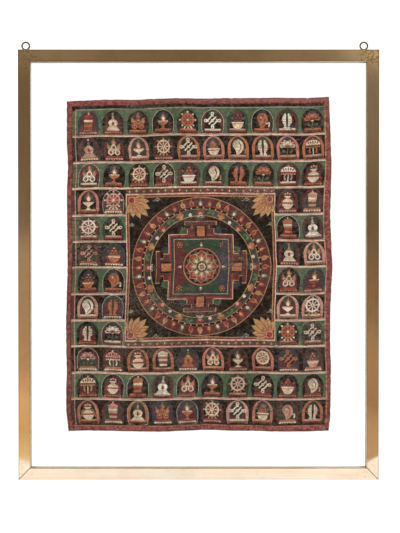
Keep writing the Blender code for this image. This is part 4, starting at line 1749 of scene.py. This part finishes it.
class OBJECT_OT_clear_panes(bpy.types.Operator):
    """Finish the two panes as clear sheet"""

    bl_idname = "object.clear_panes"
    bl_label = "Clear panes"

    def execute(self, context):
        clear = pane_finish(context.scene.panes)
        for node in ("pane_front", "pane_back"):
            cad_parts[node].material_slots[0].material = clear
        return {"FINISHED"}


class OBJECT_OT_studio(bpy.types.Operator):
    """Set up the camera, the soft lamps, the pale floor and the room that the brass mirrors"""

    bl_idname = "object.studio"
    bl_label = "Studio"

    def execute(self, context):
        studio = context.scene.studio
        context.scene.view_settings.view_transform = "Standard"
        set_camera(studio)
        set_world(studio)
        set_floor(studio)
        set_lamps(studio)
        return {"FINISHED"}


class VIEW3D_PT_painted_cloth(bpy.types.Panel):
    """Lists the settings and the buttons of the framed painted cloth"""

    bl_label = "Framed painted cloth"
    bl_space_type = "VIEW_3D"
    bl_region_type = "UI"
    bl_category = "Painted cloth"

    def draw(self, context):
        for title, group, operators in PANEL_PARTS:
            box = self.layout.box()
            box.label(text=title)
            settings = getattr(context.scene, group)
            for name in settings.bl_rna.properties.keys():
                if name not in ("rna_type", "name"):
                    box.prop(settings, name)
            for operator in operators:
                box.operator(operator.bl_idname)


SETTINGS = {
    "pigments": PigmentSettings,
    "cloth": ClothSettings,
    "brass": BrassSettings,
    "panes": PaneSettings,
    "studio": StudioSettings,
}
OPERATORS = [
    OBJECT_OT_studio, OBJECT_OT_brass_rails, OBJECT_OT_hanging_eyes, OBJECT_OT_clear_panes,
    OBJECT_OT_painted_sheet,
]
PANEL_PARTS = [
    ("Pigments", "pigments", []),
    ("Cloth", "cloth", [OBJECT_OT_painted_sheet]),
    ("Brass", "brass", [OBJECT_OT_brass_rails, OBJECT_OT_hanging_eyes]),
    ("Panes", "panes", [OBJECT_OT_clear_panes]),
    ("Studio", "studio", [OBJECT_OT_studio]),
]


def register():
    """Registers the settings, which the scene holds, the operators and the panel."""
    for group in SETTINGS.values():
        bpy.utils.register_class(group)
    for name, group in SETTINGS.items():
        setattr(bpy.types.Scene, name, PointerProperty(type=group))
    for operator in OPERATORS:
        bpy.utils.register_class(operator)
    bpy.utils.register_class(VIEW3D_PT_painted_cloth)


def unregister():
    """Takes away again all that register adds."""
    bpy.utils.unregister_class(VIEW3D_PT_painted_cloth)
    for operator in reversed(OPERATORS):
        bpy.utils.unregister_class(operator)
    for name, group in reversed(SETTINGS.items()):
        delattr(bpy.types.Scene, name)
        bpy.utils.unregister_class(group)


def main():
    """Builds everything."""
    register()
    bpy.ops.object.studio()
    bpy.ops.object.brass_rails()
    bpy.ops.object.hanging_eyes()
    bpy.ops.object.clear_panes()
    bpy.ops.object.painted_sheet()
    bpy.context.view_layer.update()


if __name__ == "__main__":
    main()
